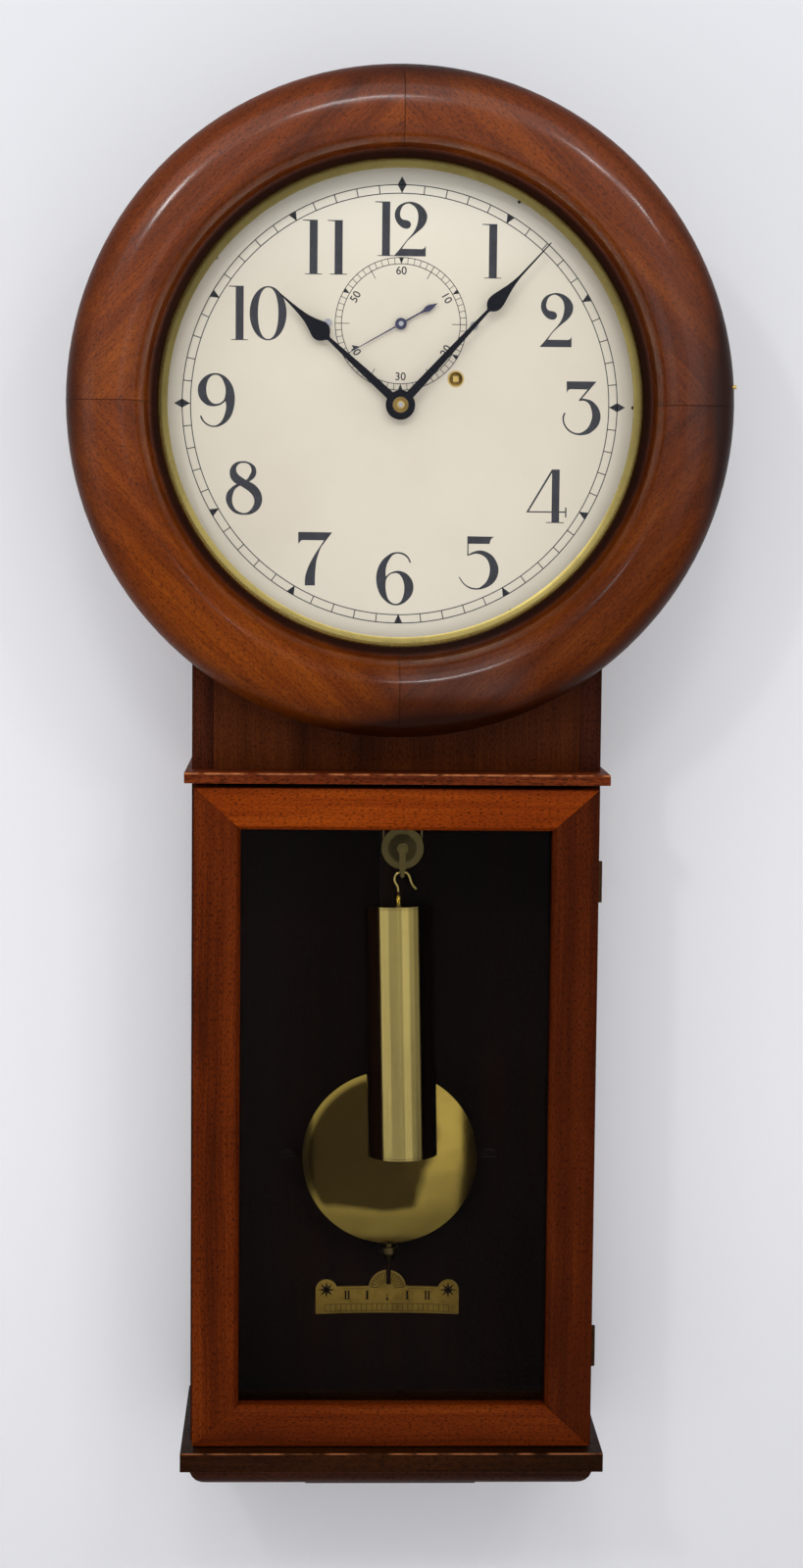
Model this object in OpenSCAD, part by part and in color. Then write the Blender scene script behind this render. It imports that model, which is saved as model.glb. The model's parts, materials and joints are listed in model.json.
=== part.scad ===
// Weight-driven wall regulator clock with a round turned head and a glazed trunk door.
// The origin is the middle of the wall hanger's hole, at the wall. X is to the right, Z is up,
// and the wall is the plane y = 0. A depth is a distance in front of the wall, so it lies at y = -depth.
// Heights named "below" or "above" are counted from the middle of the dial.

/* [Case] */
// Outer width of the trunk
case_w = 266; // [254:1:300]
// Thickness of the trunk sides
side_t = 14; // [10:1:18]
// Thickness of the backboard
back_t = 12; // [8:1:16]
// Depth of the trunk, from the wall to the front edges of its sides
case_d = 118; // [114:1:150]
// Height of the hanger hole over the middle of the dial
hanger_rise = 120; // [100:1:140]
// Height of the trunk's top over the middle of the dial
trunk_rise = 150; // [135:1:165]
// Distance of the shelf moulding's top below the middle of the dial
shelf_drop = 235.5; // [225:0.5:250]
// Thickness of the shelf moulding
shelf_t = 7; // [5:0.5:10]
// How far the shelf moulding stands out past the trunk sides
shelf_out = 4; // [2:0.5:12]
// How far the shelf moulding stands out past the door's face
shelf_lip = 8; // [4:0.5:14]
// Thickness of the base board
base_t = 12.5; // [10:0.5:20]
// How far the base board stands out past the trunk sides
base_out = 5.5; // [2:0.5:14]
// How far the base board stands out past the door's face
base_lip = 11.5; // [6:0.5:18]
// Height of the rounded apron under the base board
apron_h = 15; // [10:0.5:24]
// Gap under the apron in which the steel strip sits
strip_gap = 2.4; // [1:0.1:5]
// Width and thickness of the steel strip
strip_w = 113; // [80:1:160]
// Thickness of the steel strip
strip_t = 1.2; // [0.8:0.1:2]

/* [Door] */
// How much narrower the trunk door is than the trunk
door_inset = 4; // [0:0.5:12]
// Height of the trunk door
door_h = 434.5; // [400:0.5:480]
// Thickness of the trunk door
door_t = 20; // [16:1:26]
// Width of the door's stiles
stile_w = 30; // [22:1:40]
// Height of the door's rails
rail_h = 27; // [22:1:40]
// Gap between the door and what it closes against
door_gap = 0.6; // [0.4:0.1:1.5]
// Gap between the shelf moulding and the top of the door
door_top_gap = 3.5; // [1:0.5:6]
// Gap between the bottom of the door and the base board
door_foot_gap = 1.3; // [0.8:0.1:3]
// Thickness of the door glass
door_glass_t = 2.5; // [2:0.5:4]
// Bevel along the door's inner edge
door_bevel = 2.5; // [1:0.5:4]

// Height of the beat plate's middle over the base board's top
beat_rise = 72.4; // [50:0.2:120]

/* [Head] */
// Outer radius of the turned bezel
bezel_r = 212.4; // [205:0.2:225]
// Inner radius of the turned bezel
bezel_in_r = 154.8; // [154:0.1:158]
// Radius of the bezel's crest
crest_r = 182; // [176:0.5:190]
// Thickness of the turned bezel
bezel_t = 38; // [30:0.5:46]
// Gap between the head ring and the bezel
bezel_gap = 0.8; // [0.5:0.1:2]
// Outer radius of the fixed head ring
ring_r = 182; // [178:0.5:185]
// Inner radius of the fixed head ring
ring_in_r = 146; // [140:0.5:148]
// Thickness of the fixed head ring
ring_t = 12; // [10:0.5:14]
// Radius of the dial plate
dial_r = 153.5; // [150:0.5:155]
// Thickness of the dial plate
dial_t = 1.2; // [0.8:0.1:1.6]
// Inner radius of the brass sight ring
sight_in_r = 148.3; // [145:0.1:152]
// Thickness of the dial glass
dial_glass_t = 2.5; // [2:0.1:3]

/* [Movement] */
// Width of the movement plates
plate_w = 154; // [150:1:170]
// Thickness of the movement plates
plate_t = 3; // [2:0.5:4]
// Depth of the back plate's back face
back_plate_d = 62; // [60:0.5:64]
// Clear space between the plates
plate_space = 38; // [38:0.5:40]
// Radius of the wheel arbors
arbor_r = 1.6; // [1.2:0.1:2]
// Radial running clearance of every arbor in its hole
run_gap = 0.05; // [0.02:0.01:0.1]
// Teeth of the great wheel
great_teeth = 144; // [96:12:144]
// Leaves of the centre, third and escape pinions
pinion_leaves = 8; // [8:1:10]
// Teeth of the centre wheel
centre_teeth = 64; // [64:8:80]
// Teeth of the third wheel
third_teeth = 60; // [60:5:75]
// Teeth of the escape wheel
escape_teeth = 40; // [30:2:40]
// Tip radius of the escape wheel
escape_r = 14; // [12:0.5:15]
// Radius of the cable drum
drum_r = 10; // [8:0.5:11]
// Thickness of the wheels
wheel_t = 2; // [1.5:0.5:2.5]

/* [Hands] */
// Length of the minute hand
minute_len = 140.6; // [120:0.2:146]
// Length of the hour hand
hour_len = 104.6; // [80:0.2:120]
// Length of the needle of the seconds hand
seconds_len = 38.2; // [30:0.2:46]
// Angle of the minute hand from twelve o'clock
minute_angle = 42.6; // [0:0.1:360]
// Angle of the hour hand from twelve o'clock
hour_angle = -48; // [-180:0.1:180]
// Angle of the seconds needle from its sixty mark
seconds_angle = 240.5; // [0:0.1:360]

/* [Pendulum and weight] */
// Distance from the pendulum's pivot to the middle of its bob
bob_drop = 580; // [540:1:590]
// Diameter of the pendulum bob
bob_dia = 120; // [90:1:140]
// Thickness of the pendulum bob at its middle
bob_t = 26; // [18:1:30]
// Diameter of the weight
weight_dia = 46.5; // [40:0.5:46.5]
// Length of the weight
weight_len = 170; // [120:1:175]
// Distance of the pulley's middle below the middle of the dial
pulley_drop = 290.6; // [270:0.2:320]
// Distance of the weight's line to the right of the middle of the case
weight_x = 5.5; // [0:0.5:6]
// Radius of the pulley's rims
pulley_r = 14; // [12:0.5:16]
// Diameter of the weight cable
cable_dia = 1.2; // [1:0.1:1.6]

/* [Hidden] */

$fn = 96;
fine = 200;

walnut = [0.36, 0.17, 0.08];
dark_walnut = [0.22, 0.11, 0.06];
brass = [0.78, 0.64, 0.32];
steel = [0.62, 0.63, 0.65];
blued = [0.07, 0.07, 0.10];
iron = [0.13, 0.13, 0.13];
cream = [0.90, 0.85, 0.75];
pane = [0.80, 0.90, 0.90, 0.3];

// Heights of the parts of the case
dial_z = -hanger_rise;
trunk_top = dial_z + trunk_rise;
shelf_z = dial_z - shelf_drop;
door_top = shelf_z - shelf_t - door_top_gap;
door_bottom = door_top - door_h;
base_z = door_bottom - door_foot_gap;
door_w = case_w - door_inset;
apron_z = base_z - base_t;
inner_w = case_w - 2 * side_t;

// Depths of the parts of the case
door_back_d = case_d + door_gap;
door_front_d = door_back_d + door_t;
door_glass_d = door_front_d - 13 - door_glass_t;
ring_front_d = case_d + ring_t;
bezel_back_d = ring_front_d + bezel_gap;
dial_back_d = case_d + 1.8;
dial_front_d = dial_back_d + dial_t;
dial_glass_d = bezel_back_d + 6;
rebate_r = bezel_in_r + 3.5;

// Arbors, as [right of, above] the middle of the dial
drum_at = [35.6, 17.2];
escape_at = [0, 51.8];
third_at = [-12.5, 31.6];
motion_at = [-13.6, -13.6];
pivot_at = [0, 71];
centre_at = [0, 0];

// Depths inside the movement
inner_back_d = back_plate_d + plate_t;
inner_front_d = inner_back_d + plate_space;
front_plate_d = inner_front_d + plate_t;
great_d = inner_back_d + 1.5;
drum_d = great_d + 6.6;
drum_len = 22;
centre_d = inner_front_d - 5;
third_d = inner_back_d + 9;
escape_d = inner_back_d + 23;
cannon_d = front_plate_d + 1.5;
hour_wheel_d = front_plate_d + 7;
seconds_d = dial_front_d + 2.4;
hour_hand_d = dial_front_d + 6;
minute_hand_d = hour_hand_d + 3.2;
plate_low = -50;
plate_high = 98;
pendulum_d = 40;
weight_d = 80;
hub_r = 2.6;

// Modules of the gears from the distances between their arbors
great_m = 2 * norm(drum_at - centre_at) / (great_teeth + pinion_leaves);
centre_m = 2 * norm(third_at - centre_at) / (centre_teeth + pinion_leaves);
third_m = 2 * norm(escape_at - third_at) / (third_teeth + pinion_leaves);
cannon_teeth = 12;
minute_teeth = 36;
minute_pinion_teeth = 10;
hour_teeth = 40;
cannon_m = 2 * norm(motion_at) / (cannon_teeth + minute_teeth);
hour_m = 2 * norm(motion_at) / (minute_pinion_teeth + hour_teeth);

// The weight's line of pull and the wall screws
pulley_z = dial_z - pulley_drop;
groove_r = pulley_r - 2.1;
loop_r = groove_r + cable_dia / 2;
weight_tilt = 1.45;
screw_x = 70;
screw_z = dial_z - 514;
hinge_x = max(door_w, case_w) / 2;
hinge_d = case_d + door_gap / 2;
bezel_hinge_x = ring_r + 6;
bezel_hinge_d = ring_front_d + bezel_gap / 2;
hook_z = pulley_z - pulley_r - 2.6;

// A flat shape drawn as seen from the front, with its back face at a depth
module slab(depth, t) {
    translate([0, -depth, 0]) rotate([90, 0, 0]) linear_extrude(t) children();
}
// A round bar along the depth, from a depth forwards
module bar(at, depth, len, r) {
    translate([at[0], -depth, dial_z + at[1]]) rotate([90, 0, 0]) cylinder(h = len, r = r);
}
// A board between two corners given as x, depth and z
module board(x0, x1, d0, d1, z0, z1) {
    translate([x0, -d1, z0]) cube([x1 - x0, d1 - d0, z1 - z0]);
}
// A turned ring round the dial's axis, from a profile of [radius, depth] points
module turned(profile) {
    translate([0, 0, dial_z]) rotate([90, 0, 0]) rotate_extrude($fn = fine) polygon(profile);
}

// Angle of the arbor b as seen from the arbor a
function bearing(a, b) = atan2(b[1] - a[1], b[0] - a[0]);
// One gear tooth: share of the pitch at root, pitch circle and tip, with addendum and dedendum in modules
wheel_tooth = [0.56, 0.40, 0.20, 0.75, 1.25];
leaf_tooth = [0.40, 0.36, 0.20, 0.60, 1.30];
function gear_points(n, m, tooth, phase) = [
    for (i = [0 : n - 1], k = [0 : 5])
        let (
            side = k < 3 ? -1 : 1,
            level = k < 3 ? k : 5 - k,
            r = n * m / 2 + (level == 0 ? -tooth[4] * m : level == 1 ? 0 : tooth[3] * m),
            a = phase + (i + side * tooth[level] / 2) * 360 / n
        )
        r * [cos(a), sin(a)]
];
module gear(at, depth, t, n, m, tooth, phase) {
    translate([at[0], -depth, dial_z + at[1]]) rotate([90, 0, 0])
        linear_extrude(t) polygon(gear_points(n, m, tooth, phase));
}
// Openings between the spokes of a wheel
module crossings(at, depth, t, r_in, r_out, spokes, spoke_w) {
    translate([at[0], -depth, dial_z + at[1]]) rotate([90, 0, 0]) translate([0, 0, -1])
        difference() {
            cylinder(h = t + 2, r = r_out);
            translate([0, 0, -1]) cylinder(h = t + 4, r = r_in);
            for (i = [0 : spokes - 1])
                rotate(i * 360 / spokes) translate([0, -spoke_w / 2, -1]) cube([r_out + 1, spoke_w, t + 4]);
        }
}

// Case

module backboard() {
    color(dark_walnut) difference() {
        board(-inner_w / 2, inner_w / 2, 0, back_t, base_z, trunk_top);
        board(-20.2, 20.2, -1, 2, -25.2, 25.2);
        translate([0, 1, 0]) rotate([90, 0, 0]) cylinder(h = 10.5, r = 12);
        for (s = [-1, 1]) translate([s * screw_x, 1, screw_z]) rotate([90, 0, 0])
            cylinder(h = back_t + 2, r = 2.55);
        for (s = [-1, 1], z = [-30, 60]) bar([s * 30, z], -1, back_t + 2, 2.1);
    }
}
// The two sides and the top board
module carcass() {
    color(walnut) difference() {
        for (s = [-1, 1]) mirror([s < 0 ? 1 : 0, 0, 0])
            board(inner_w / 2, case_w / 2, 0, case_d, base_z, trunk_top);
        for (z = door_hinge_z) {
            knuckle(hinge_x, hinge_d, z, hinge_half + 0.2, knuckle_r + 0.2);
            board(leaf_x, hinge_x + 1, case_d - leaf_t, case_d + 1, z - hinge_half, z + hinge_half);
        }
    }
    color(walnut) board(-inner_w / 2, inner_w / 2, back_t, case_d, trunk_top - side_t, trunk_top);
}
module waist_panel() {
    color(dark_walnut) difference() {
        board(-inner_w / 2, inner_w / 2, case_d - 12, case_d, shelf_z - shelf_t, dial_z - ring_in_r + 20);
        bar([0, 0], case_d - 13, 14, ring_in_r + 2);
    }
}
// A board whose upper front edge is rounded
module nosed_board(half, front_d, low, high, nose) {
    translate([-half, 0, 0]) rotate([90, 0, 90]) linear_extrude(2 * half)
        polygon(concat([[0, high], [0, low], [-front_d, low]],
            [for (a = [90 : -15 : 0]) [-front_d + nose - nose * sin(a), high - nose + nose * cos(a)]]));
}
// The shelf moulding wraps the front and both sides
module shelf_moulding() {
    half = case_w / 2 + shelf_out;
    color(walnut) difference() {
        nosed_board(half, door_front_d + shelf_lip, shelf_z - shelf_t, shelf_z, 2.2);
        board(-case_w / 2, case_w / 2, -1, case_d, shelf_z - shelf_t - 1, shelf_z + 1);
    }
}
module base_board() {
    half = case_w / 2 + base_out;
    color(walnut) nosed_board(half, door_front_d + base_lip, apron_z, base_z, 0.9);
}
// The apron is a quarter round that runs along the front and both ends
module apron() {
    r = apron_h - 1.5;
    half = case_w / 2;
    low = apron_z - apron_h;
    front_d = door_front_d - 2;
    color(walnut) intersection() {
        union() {
            translate([-half, 0, 0]) rotate([90, 0, 90]) linear_extrude(2 * half)
                polygon(concat([[0, apron_z], [0, low], [-front_d + r, low]],
                    [for (a = [15 : 15 : 90]) [-front_d + r - r * sin(a), low + r - r * cos(a)]],
                    [[-front_d, apron_z]]));
        }
        rotate([90, 0, 0]) linear_extrude(front_d + 1)
            polygon(concat([for (a = [0 : 15 : 90]) [half - r + r * sin(a), low + r - r * cos(a)]],
                [[half, apron_z], [-half, apron_z]],
                [for (a = [90 : -15 : 0]) [-half + r - r * sin(a), low + r - r * cos(a)]]));
    }
}
module steel_strip() {
    low = apron_z - apron_h - strip_gap;
    color(iron) {
        board(-strip_w / 2, strip_w / 2, 60, door_front_d - 22, low - strip_t, low);
        for (s = [-1, 1]) translate([s * (strip_w / 2 - 12), -90, low]) cylinder(h = strip_gap, r = 5);
    }
}
module head_ring() {
    color(walnut) difference() {
        turned([[ring_in_r, case_d], [ring_r, case_d], [ring_r, ring_front_d],
            [dial_r + 1, ring_front_d], [dial_r + 1, dial_back_d], [ring_in_r, dial_back_d]]);
        for (z = bezel_hinge_z)
            board(bezel_leaf_x, ring_r + 1, ring_front_d - arm_t, ring_front_d + 1,
                z - hinge_half, z + hinge_half);
        for (p = pin_at) bar(p, case_d + 0.2, ring_t, 0.7);
    }
}
module hanger_plate() {
    color(steel) difference() {
        board(-20, 20, 0, 2, -25, 25);
        translate([0, 1, 0]) rotate([90, 0, 0]) cylinder(h = 4, r = 5);
        for (s = [-1, 1]) translate([0, 1, s * 20]) rotate([90, 0, 0]) cylinder(h = 4, r = 2);
    }
    color(steel) for (s = [-1, 1]) translate([0, 0, s * 20]) rotate([90, 0, 0]) cylinder(h = 2, r = 2);
}
// Two screws low in the backboard steady the case against the wall, and two pins hold the beat plate
module backboard_screws() {
    color(iron) for (s = [-1, 1]) {
        bar([s * ear_x, beat_at[1]], back_t, 1.5, 1.25);
        bar([s * ear_x, beat_at[1]], back_t + 1.5, 1, 2);
    }
    color(iron) for (s = [-1, 1]) translate([s * screw_x, 0, screw_z]) rotate([90, 0, 0]) difference() {
        union() {
            cylinder(h = back_t, r = 2.5);
            translate([0, 0, back_t]) cylinder(h = 2.4, r = 4.6);
        }
        translate([-5, -0.6, back_t + 1.4]) cube([10, 1.2, 2]);
    }
}

// Beat plate

beat_at = [0, base_z + beat_rise - dial_z];
beat_half = 50;
ear_x = 42.5;
module beat_plate() {
    r_arc = 1150;
    color(brass) slab(back_t, 1.5) translate([beat_at[0], dial_z + beat_at[1]]) difference() {
        union() {
            intersection() {
                translate([-beat_half, -19.5]) square([2 * beat_half, 23]);
                translate([0, -r_arc - 16.2]) difference() {
                    circle(r = r_arc + 19, $fn = 1200);
                    circle(r = r_arc, $fn = 1200);
                }
            }
            translate([0, 1]) circle(r = 13);
            for (s = [-1, 1]) translate([s * ear_x, 0]) circle(r = 7.3);
        }
        for (s = [-1, 1]) translate([s * ear_x, 0]) circle(r = 1.3);
    }
}
// Movement

bracket_x = 56;
module movement_bracket() {
    color(iron) {
        difference() {
            union() {
                board(-bracket_x, bracket_x, back_t, back_t + 5, dial_z + plate_low, dial_z + plate_high - 4);
                for (s = [-1, 1])
                    board(s * bracket_x - 3, s * bracket_x + 3, back_t, back_plate_d, dial_z + plate_low,
                        dial_z + plate_high - 4);
            }
            for (s = [-1, 1], z = [-30, 60]) bar([s * 30, z], back_t - 1, 8, 2.1);
        }
        for (s = [-1, 1], z = [-30, 60]) {
            bar([s * 30, z], 1, back_t + 4, 2.05);
            bar([s * 30, z], back_t + 5, 2, 4);
        }
    }
}
pillar_at = [for (x = [-66, 66], z = [plate_low + 8, plate_high - 8]) [x, z]];
module plate_blank(depth) {
    board(-plate_w / 2, plate_w / 2, depth, depth + plate_t, dial_z + plate_low, dial_z + plate_high);
}
module back_plate() {
    color(brass) difference() {
        plate_blank(back_plate_d);
        for (a = [centre_at, third_at, escape_at]) bar(a, back_plate_d - 1, plate_t + 2, arbor_r + run_gap);
        bar(drum_at, back_plate_d - 1, plate_t + 2, hub_r + run_gap);
        bar(pivot_at, back_plate_d - 1, plate_t + 2, arbor_r + run_gap);
        for (p = pillar_at) bar(p, back_plate_d - 1, plate_t + 2, 2.5);
    }
}
module front_plate() {
    color(brass) difference() {
        plate_blank(inner_front_d);
        for (a = [centre_at, third_at, escape_at, pivot_at])
            bar(a, inner_front_d - 1, plate_t + 2, arbor_r + run_gap);
        bar(drum_at, inner_front_d - 1, plate_t + 2, hub_r + run_gap);
        for (p = pillar_at) bar(p, inner_front_d - 1, plate_t + 2, 2.5);
        for (p = post_at) bar(p, inner_front_d - 1, plate_t + 2, 1.6);
    }
    color(steel) bar(motion_at, front_plate_d, 10, 1.2);
}
module pillars() {
    color(brass) for (p = pillar_at) {
        bar(p, inner_back_d, plate_space, 4.5);
        bar(p, back_plate_d, plate_t, 2.5);
        bar(p, inner_front_d, plate_t, 2.5);
    }
}
module pillar_nuts() {
    color(steel) for (p = pillar_at) {
        bar(p, back_plate_d - 2.5, 2.5, 4);
        bar(p, front_plate_d, 2.5, 4);
    }
}
// The cock carries the suspension spring in a slot and stands on the back plate
cock_d = pendulum_d - 7;
module suspension_cock() {
    color(brass) difference() {
        union() {
            board(-9, 9, cock_d, back_plate_d, dial_z + pivot_at[1] + 12, dial_z + pivot_at[1] + 20);
            board(-9, 9, cock_d, cock_d + 14, dial_z + pivot_at[1] + 2, dial_z + pivot_at[1] + 12);
        }
        board(-0.8, 0.8, cock_d - 1, cock_d + 15, dial_z + pivot_at[1] + 1, dial_z + pivot_at[1] + 12);
    }
}
module cable_stud() {
    color(steel) bar([weight_x - loop_r, plate_low + 6], inner_back_d, plate_space, 2);
    color(steel) bar([weight_x - loop_r, plate_low + 6], weight_d - 3, 6, 3.4);
}

// Dial

post_at = [[-46.7, 52.1], [47.1, 51.3]];
pin_at = [for (a = [30, 90, 151, 180, 240, 308]) 150 * [sin(a), cos(a)]];
module dial() {
    color(cream) difference() {
        turned([[0, dial_back_d], [dial_r, dial_back_d], [dial_r, dial_front_d], [0, dial_front_d]]);
        bar(centre_at, dial_back_d - 1, dial_t + 2, 6);
        bar(escape_at, dial_back_d - 1, dial_t + 2, arbor_r + 0.3);
        bar(drum_at, dial_back_d - 1, dial_t + 2, 5.35);
        for (p = post_at) bar(p, dial_back_d - 1, dial_t + 2, 1.3);
        for (p = pin_at) bar(p, dial_back_d - 1, dial_t + 2, 0.7);
    }
}
module dial_posts() {
    color(brass) for (p = post_at) {
        bar(p, front_plate_d, dial_back_d - front_plate_d, 3);
        bar(p, inner_front_d, plate_t, 1.6);
    }
}
module dial_screws() {
    color(steel) for (p = post_at) difference() {
        union() {
            bar(p, dial_back_d, dial_t, 1.3);
            bar(p, dial_front_d, 1.2, 2.6);
        }
        translate([p[0], -dial_front_d - 1.2, dial_z + p[1]]) rotate([0, 50, 0])
            cube([6, 1, 0.7], center = true);
    }
}
module dial_pins() {
    color(iron) for (p = pin_at) {
        bar(p, case_d + 0.2, dial_back_d - case_d - 0.2 + dial_t, 0.7);
        bar(p, dial_front_d, 0.5, 1.1);
    }
}
module winding_collar() {
    color(brass) difference() {
        bar(drum_at, front_plate_d, dial_front_d - front_plate_d, 5.3);
        bar(drum_at, front_plate_d - 1, 30, 4.3);
    }
}

// Train

module great_wheel() {
    color(brass) difference() {
        gear(drum_at, great_d, wheel_t, great_teeth, great_m, wheel_tooth, bearing(drum_at, centre_at));
        crossings(drum_at, great_d, wheel_t, 17, 32, 6, 4.5);
        bar(drum_at, great_d - 1, wheel_t + 2, hub_r + run_gap);
    }
    color(steel) bar(drum_at + click_from_drum, great_d + wheel_t, 2.6, 0.9);
}
// The click rests just clear of the ratchet's teeth, so that the drum turns freely for winding
ratchet_r = 12.6;
click_from_drum = [0, -17.2];
click_d = great_d + wheel_t + 0.3;
module click() {
    color(steel) translate([drum_at[0], -click_d, dial_z + drum_at[1]]) rotate([90, 0, 0]) difference() {
        linear_extrude(1.8) union() {
            translate(click_from_drum) circle(r = 2.4);
            polygon([[0, -19.3], [-7.6, -14.9], [-8.4, -10.1], [-6.6, -11.2], [-5.6, -13.6], [0, -15.2]]);
        }
        translate([click_from_drum[0], click_from_drum[1], -1]) cylinder(h = 4, r = 0.95);
    }
}
module click_spring() {
    color(steel) translate([drum_at[0], -great_d - wheel_t, dial_z + drum_at[1]]) rotate([90, 0, 0])
        linear_extrude(1.5) polygon([[-15.4, -7], [-13.4, -7], [-13.4, -10], [-9.6, -14.6], [-10.1, -15],
            [-15.4, -9.4]]);
}
module drum() {
    color(brass) difference() {
        union() {
            bar(drum_at, drum_d, drum_len, drum_r);
            bar(drum_at, drum_d, 1.6, drum_r + 3.4);
            bar(drum_at, drum_d + drum_len - 1.6, 1.6, drum_r + 3.4);
            translate([drum_at[0], -click_d, dial_z + drum_at[1]]) rotate([90, 0, 0])
                linear_extrude(1.8) polygon([for (i = [0 : 17], k = [0 : 1])
                    (k == 0 ? ratchet_r : ratchet_r - 2.2) * [cos(i * 20 + k * 2), sin(i * 20 + k * 2)]]);
            bar(drum_at, click_d + 1.8, drum_d - click_d - 1.8, 6);
        }
        bar(drum_at, click_d - 1, drum_d - click_d + drum_len + 2, hub_r);
    }
    color(steel) bar(drum_at, back_plate_d, front_plate_d + 5 - back_plate_d, hub_r);
    color(steel) translate([drum_at[0], -front_plate_d - 5 - 4.4, dial_z + drum_at[1]])
        cube([3.6, 9, 3.6], center = true);
}
module drum_cable() {
    color(brass) difference() {
        bar(drum_at, drum_d + 2.2, drum_len - 4.4, drum_r + cable_dia);
        bar(drum_at, drum_d + 2, drum_len - 4, drum_r);
    }
}
module centre_arbor() {
    color(steel) {
        bar(centre_at, back_plate_d, minute_hand_d + 5 - back_plate_d, arbor_r);
        gear(centre_at, great_d - 1, wheel_t + 3, pinion_leaves, great_m, leaf_tooth,
            bearing(centre_at, drum_at) + 180 / pinion_leaves);
        gear(centre_at, cannon_d, 4.5, cannon_teeth, cannon_m, leaf_tooth,
            bearing(centre_at, motion_at) + 180 / cannon_teeth);
        bar(centre_at, cannon_d + 4.5, minute_hand_d - cannon_d - 4.5, 2.6);
    }
}
module centre_wheel() {
    color(brass) difference() {
        gear(centre_at, centre_d, wheel_t, centre_teeth, centre_m, wheel_tooth, bearing(centre_at, third_at));
        crossings(centre_at, centre_d, wheel_t, 6, 24, 5, 3);
        bar(centre_at, centre_d - 1, wheel_t + 2, arbor_r);
    }
}
module third_wheel() {
    phase = bearing(third_at, centre_at) + 180 / pinion_leaves;
    color(brass) difference() {
        gear(third_at, third_d, wheel_t, third_teeth, third_m, wheel_tooth, bearing(third_at, escape_at));
        crossings(third_at, third_d, wheel_t, 5, 17.5, 5, 2.6);
        bar(third_at, third_d - 1, wheel_t + 2, arbor_r);
    }
    color(steel) bar(third_at, back_plate_d, front_plate_d - back_plate_d, arbor_r);
    color(steel) gear(third_at, centre_d - 1, wheel_t + 1.6, pinion_leaves, centre_m, leaf_tooth, phase);
}
module escape_arbor() {
    phase = bearing(escape_at, third_at) + 180 / pinion_leaves;
    color(steel) {
        bar(escape_at, back_plate_d, seconds_d + 1.6 - back_plate_d, arbor_r);
        gear(escape_at, third_d - 1, wheel_t + 2, pinion_leaves, third_m, leaf_tooth, phase);
    }
}
module escape_wheel() {
    color(brass) difference() {
        translate([escape_at[0], -escape_d, dial_z + escape_at[1]]) rotate([90, 0, 0])
            linear_extrude(1.5) polygon([for (i = [0 : escape_teeth - 1], k = [0 : 2])
                let (r = k == 0 ? escape_r : escape_r - 3, a = (i + (k == 0 ? 0 : k == 1 ? 0.18 : 0.72))
                    * 360 / escape_teeth)
                r * [cos(a), sin(a)]]);
        crossings(escape_at, escape_d, 1.5, 3.6, 8.8, 5, 1.6);
        bar(escape_at, escape_d - 1, 4, arbor_r);
    }
}
module minute_wheel() {
    color(brass) difference() {
        union() {
            gear(motion_at, cannon_d + 1, 2, minute_teeth, cannon_m, wheel_tooth,
                bearing(motion_at, centre_at));
            gear(motion_at, cannon_d + 3, 5, minute_pinion_teeth, hour_m, leaf_tooth,
                bearing(motion_at, centre_at) + 180 / minute_pinion_teeth);
        }
        bar(motion_at, cannon_d, 10, 1.2 + run_gap);
    }
}
module hour_wheel() {
    color(brass) difference() {
        union() {
            gear(centre_at, hour_wheel_d, 2, hour_teeth, hour_m, wheel_tooth, bearing(centre_at, motion_at));
            bar(centre_at, hour_wheel_d, hour_hand_d - hour_wheel_d, 4.2);
        }
        bar(centre_at, hour_wheel_d - 1, 30, hub_r + run_gap);
    }
}
// A flat hand that points to twelve, from its length and [distance, half width] pairs in its drawn length
module blade(len, drawn, outline) {
    polygon(concat([for (p = outline) [p[1], p[0] * len / drawn]],
        [for (k = [len(outline) - 1 : -1 : 0]) [-outline[k][1], outline[k][0] * len / drawn]]));
}
hour_outline = [[0, 2.9], [30, 2.4], [62, 1.2], [63, 1.9], [64, 3.4], [65.5, 5], [67.5, 6.1], [69.5, 6.4],
    [71.5, 6], [74, 5], [77, 3.8], [80.5, 2.7], [84, 2], [89, 1.35], [95, 0.85], [104.6, 0.35]];
minute_outline = [[0, 2.9], [40, 2.2], [81.5, 1], [82.6, 1.6], [83.6, 2.9], [85.2, 4.2], [87.2, 4.9], [89, 5],
    [91.5, 4.7], [95, 3.8], [98.5, 2.9], [102, 2.05], [106, 1.35], [111, 0.8], [125, 0.55], [140.6, 0.35]];
tail_outline = [[0, 0.6], [14, 0.5], [17, 0.9], [18.4, 1.7], [20, 1.95], [21.8, 1.75], [24, 0.9], [26.7, 0.1]];
module minute_hand() {
    color(blued) translate([0, -minute_hand_d, dial_z]) rotate([90, minute_angle, 0]) difference() {
        union() {
            linear_extrude(0.9) blade(minute_len, 140.6, minute_outline);
            cylinder(h = 0.9, r = 8);
        }
        translate([0, 0, -1]) cylinder(h = 4, r = arbor_r);
    }
}
module hour_hand() {
    color(blued) translate([0, -hour_hand_d, dial_z]) rotate([90, hour_angle, 0]) difference() {
        union() {
            linear_extrude(0.9) blade(hour_len, 104.6, hour_outline);
            cylinder(h = 1.6, r = 9.4);
        }
        translate([0, 0, -1]) cylinder(h = 4, r = hub_r + run_gap);
        translate([0, 0, -1]) cylinder(h = 1, r = 5);
    }
}
nut_r = 5;
module hand_nut() {
    base = minute_hand_d + 0.9;
    color(brass) turned([[arbor_r, base], [nut_r, base], [nut_r, base + 0.8], [nut_r - 0.5, base + 1.2],
        [arbor_r + 0.9, base + 2.9], [arbor_r, base + 2.9]]);
}
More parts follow.
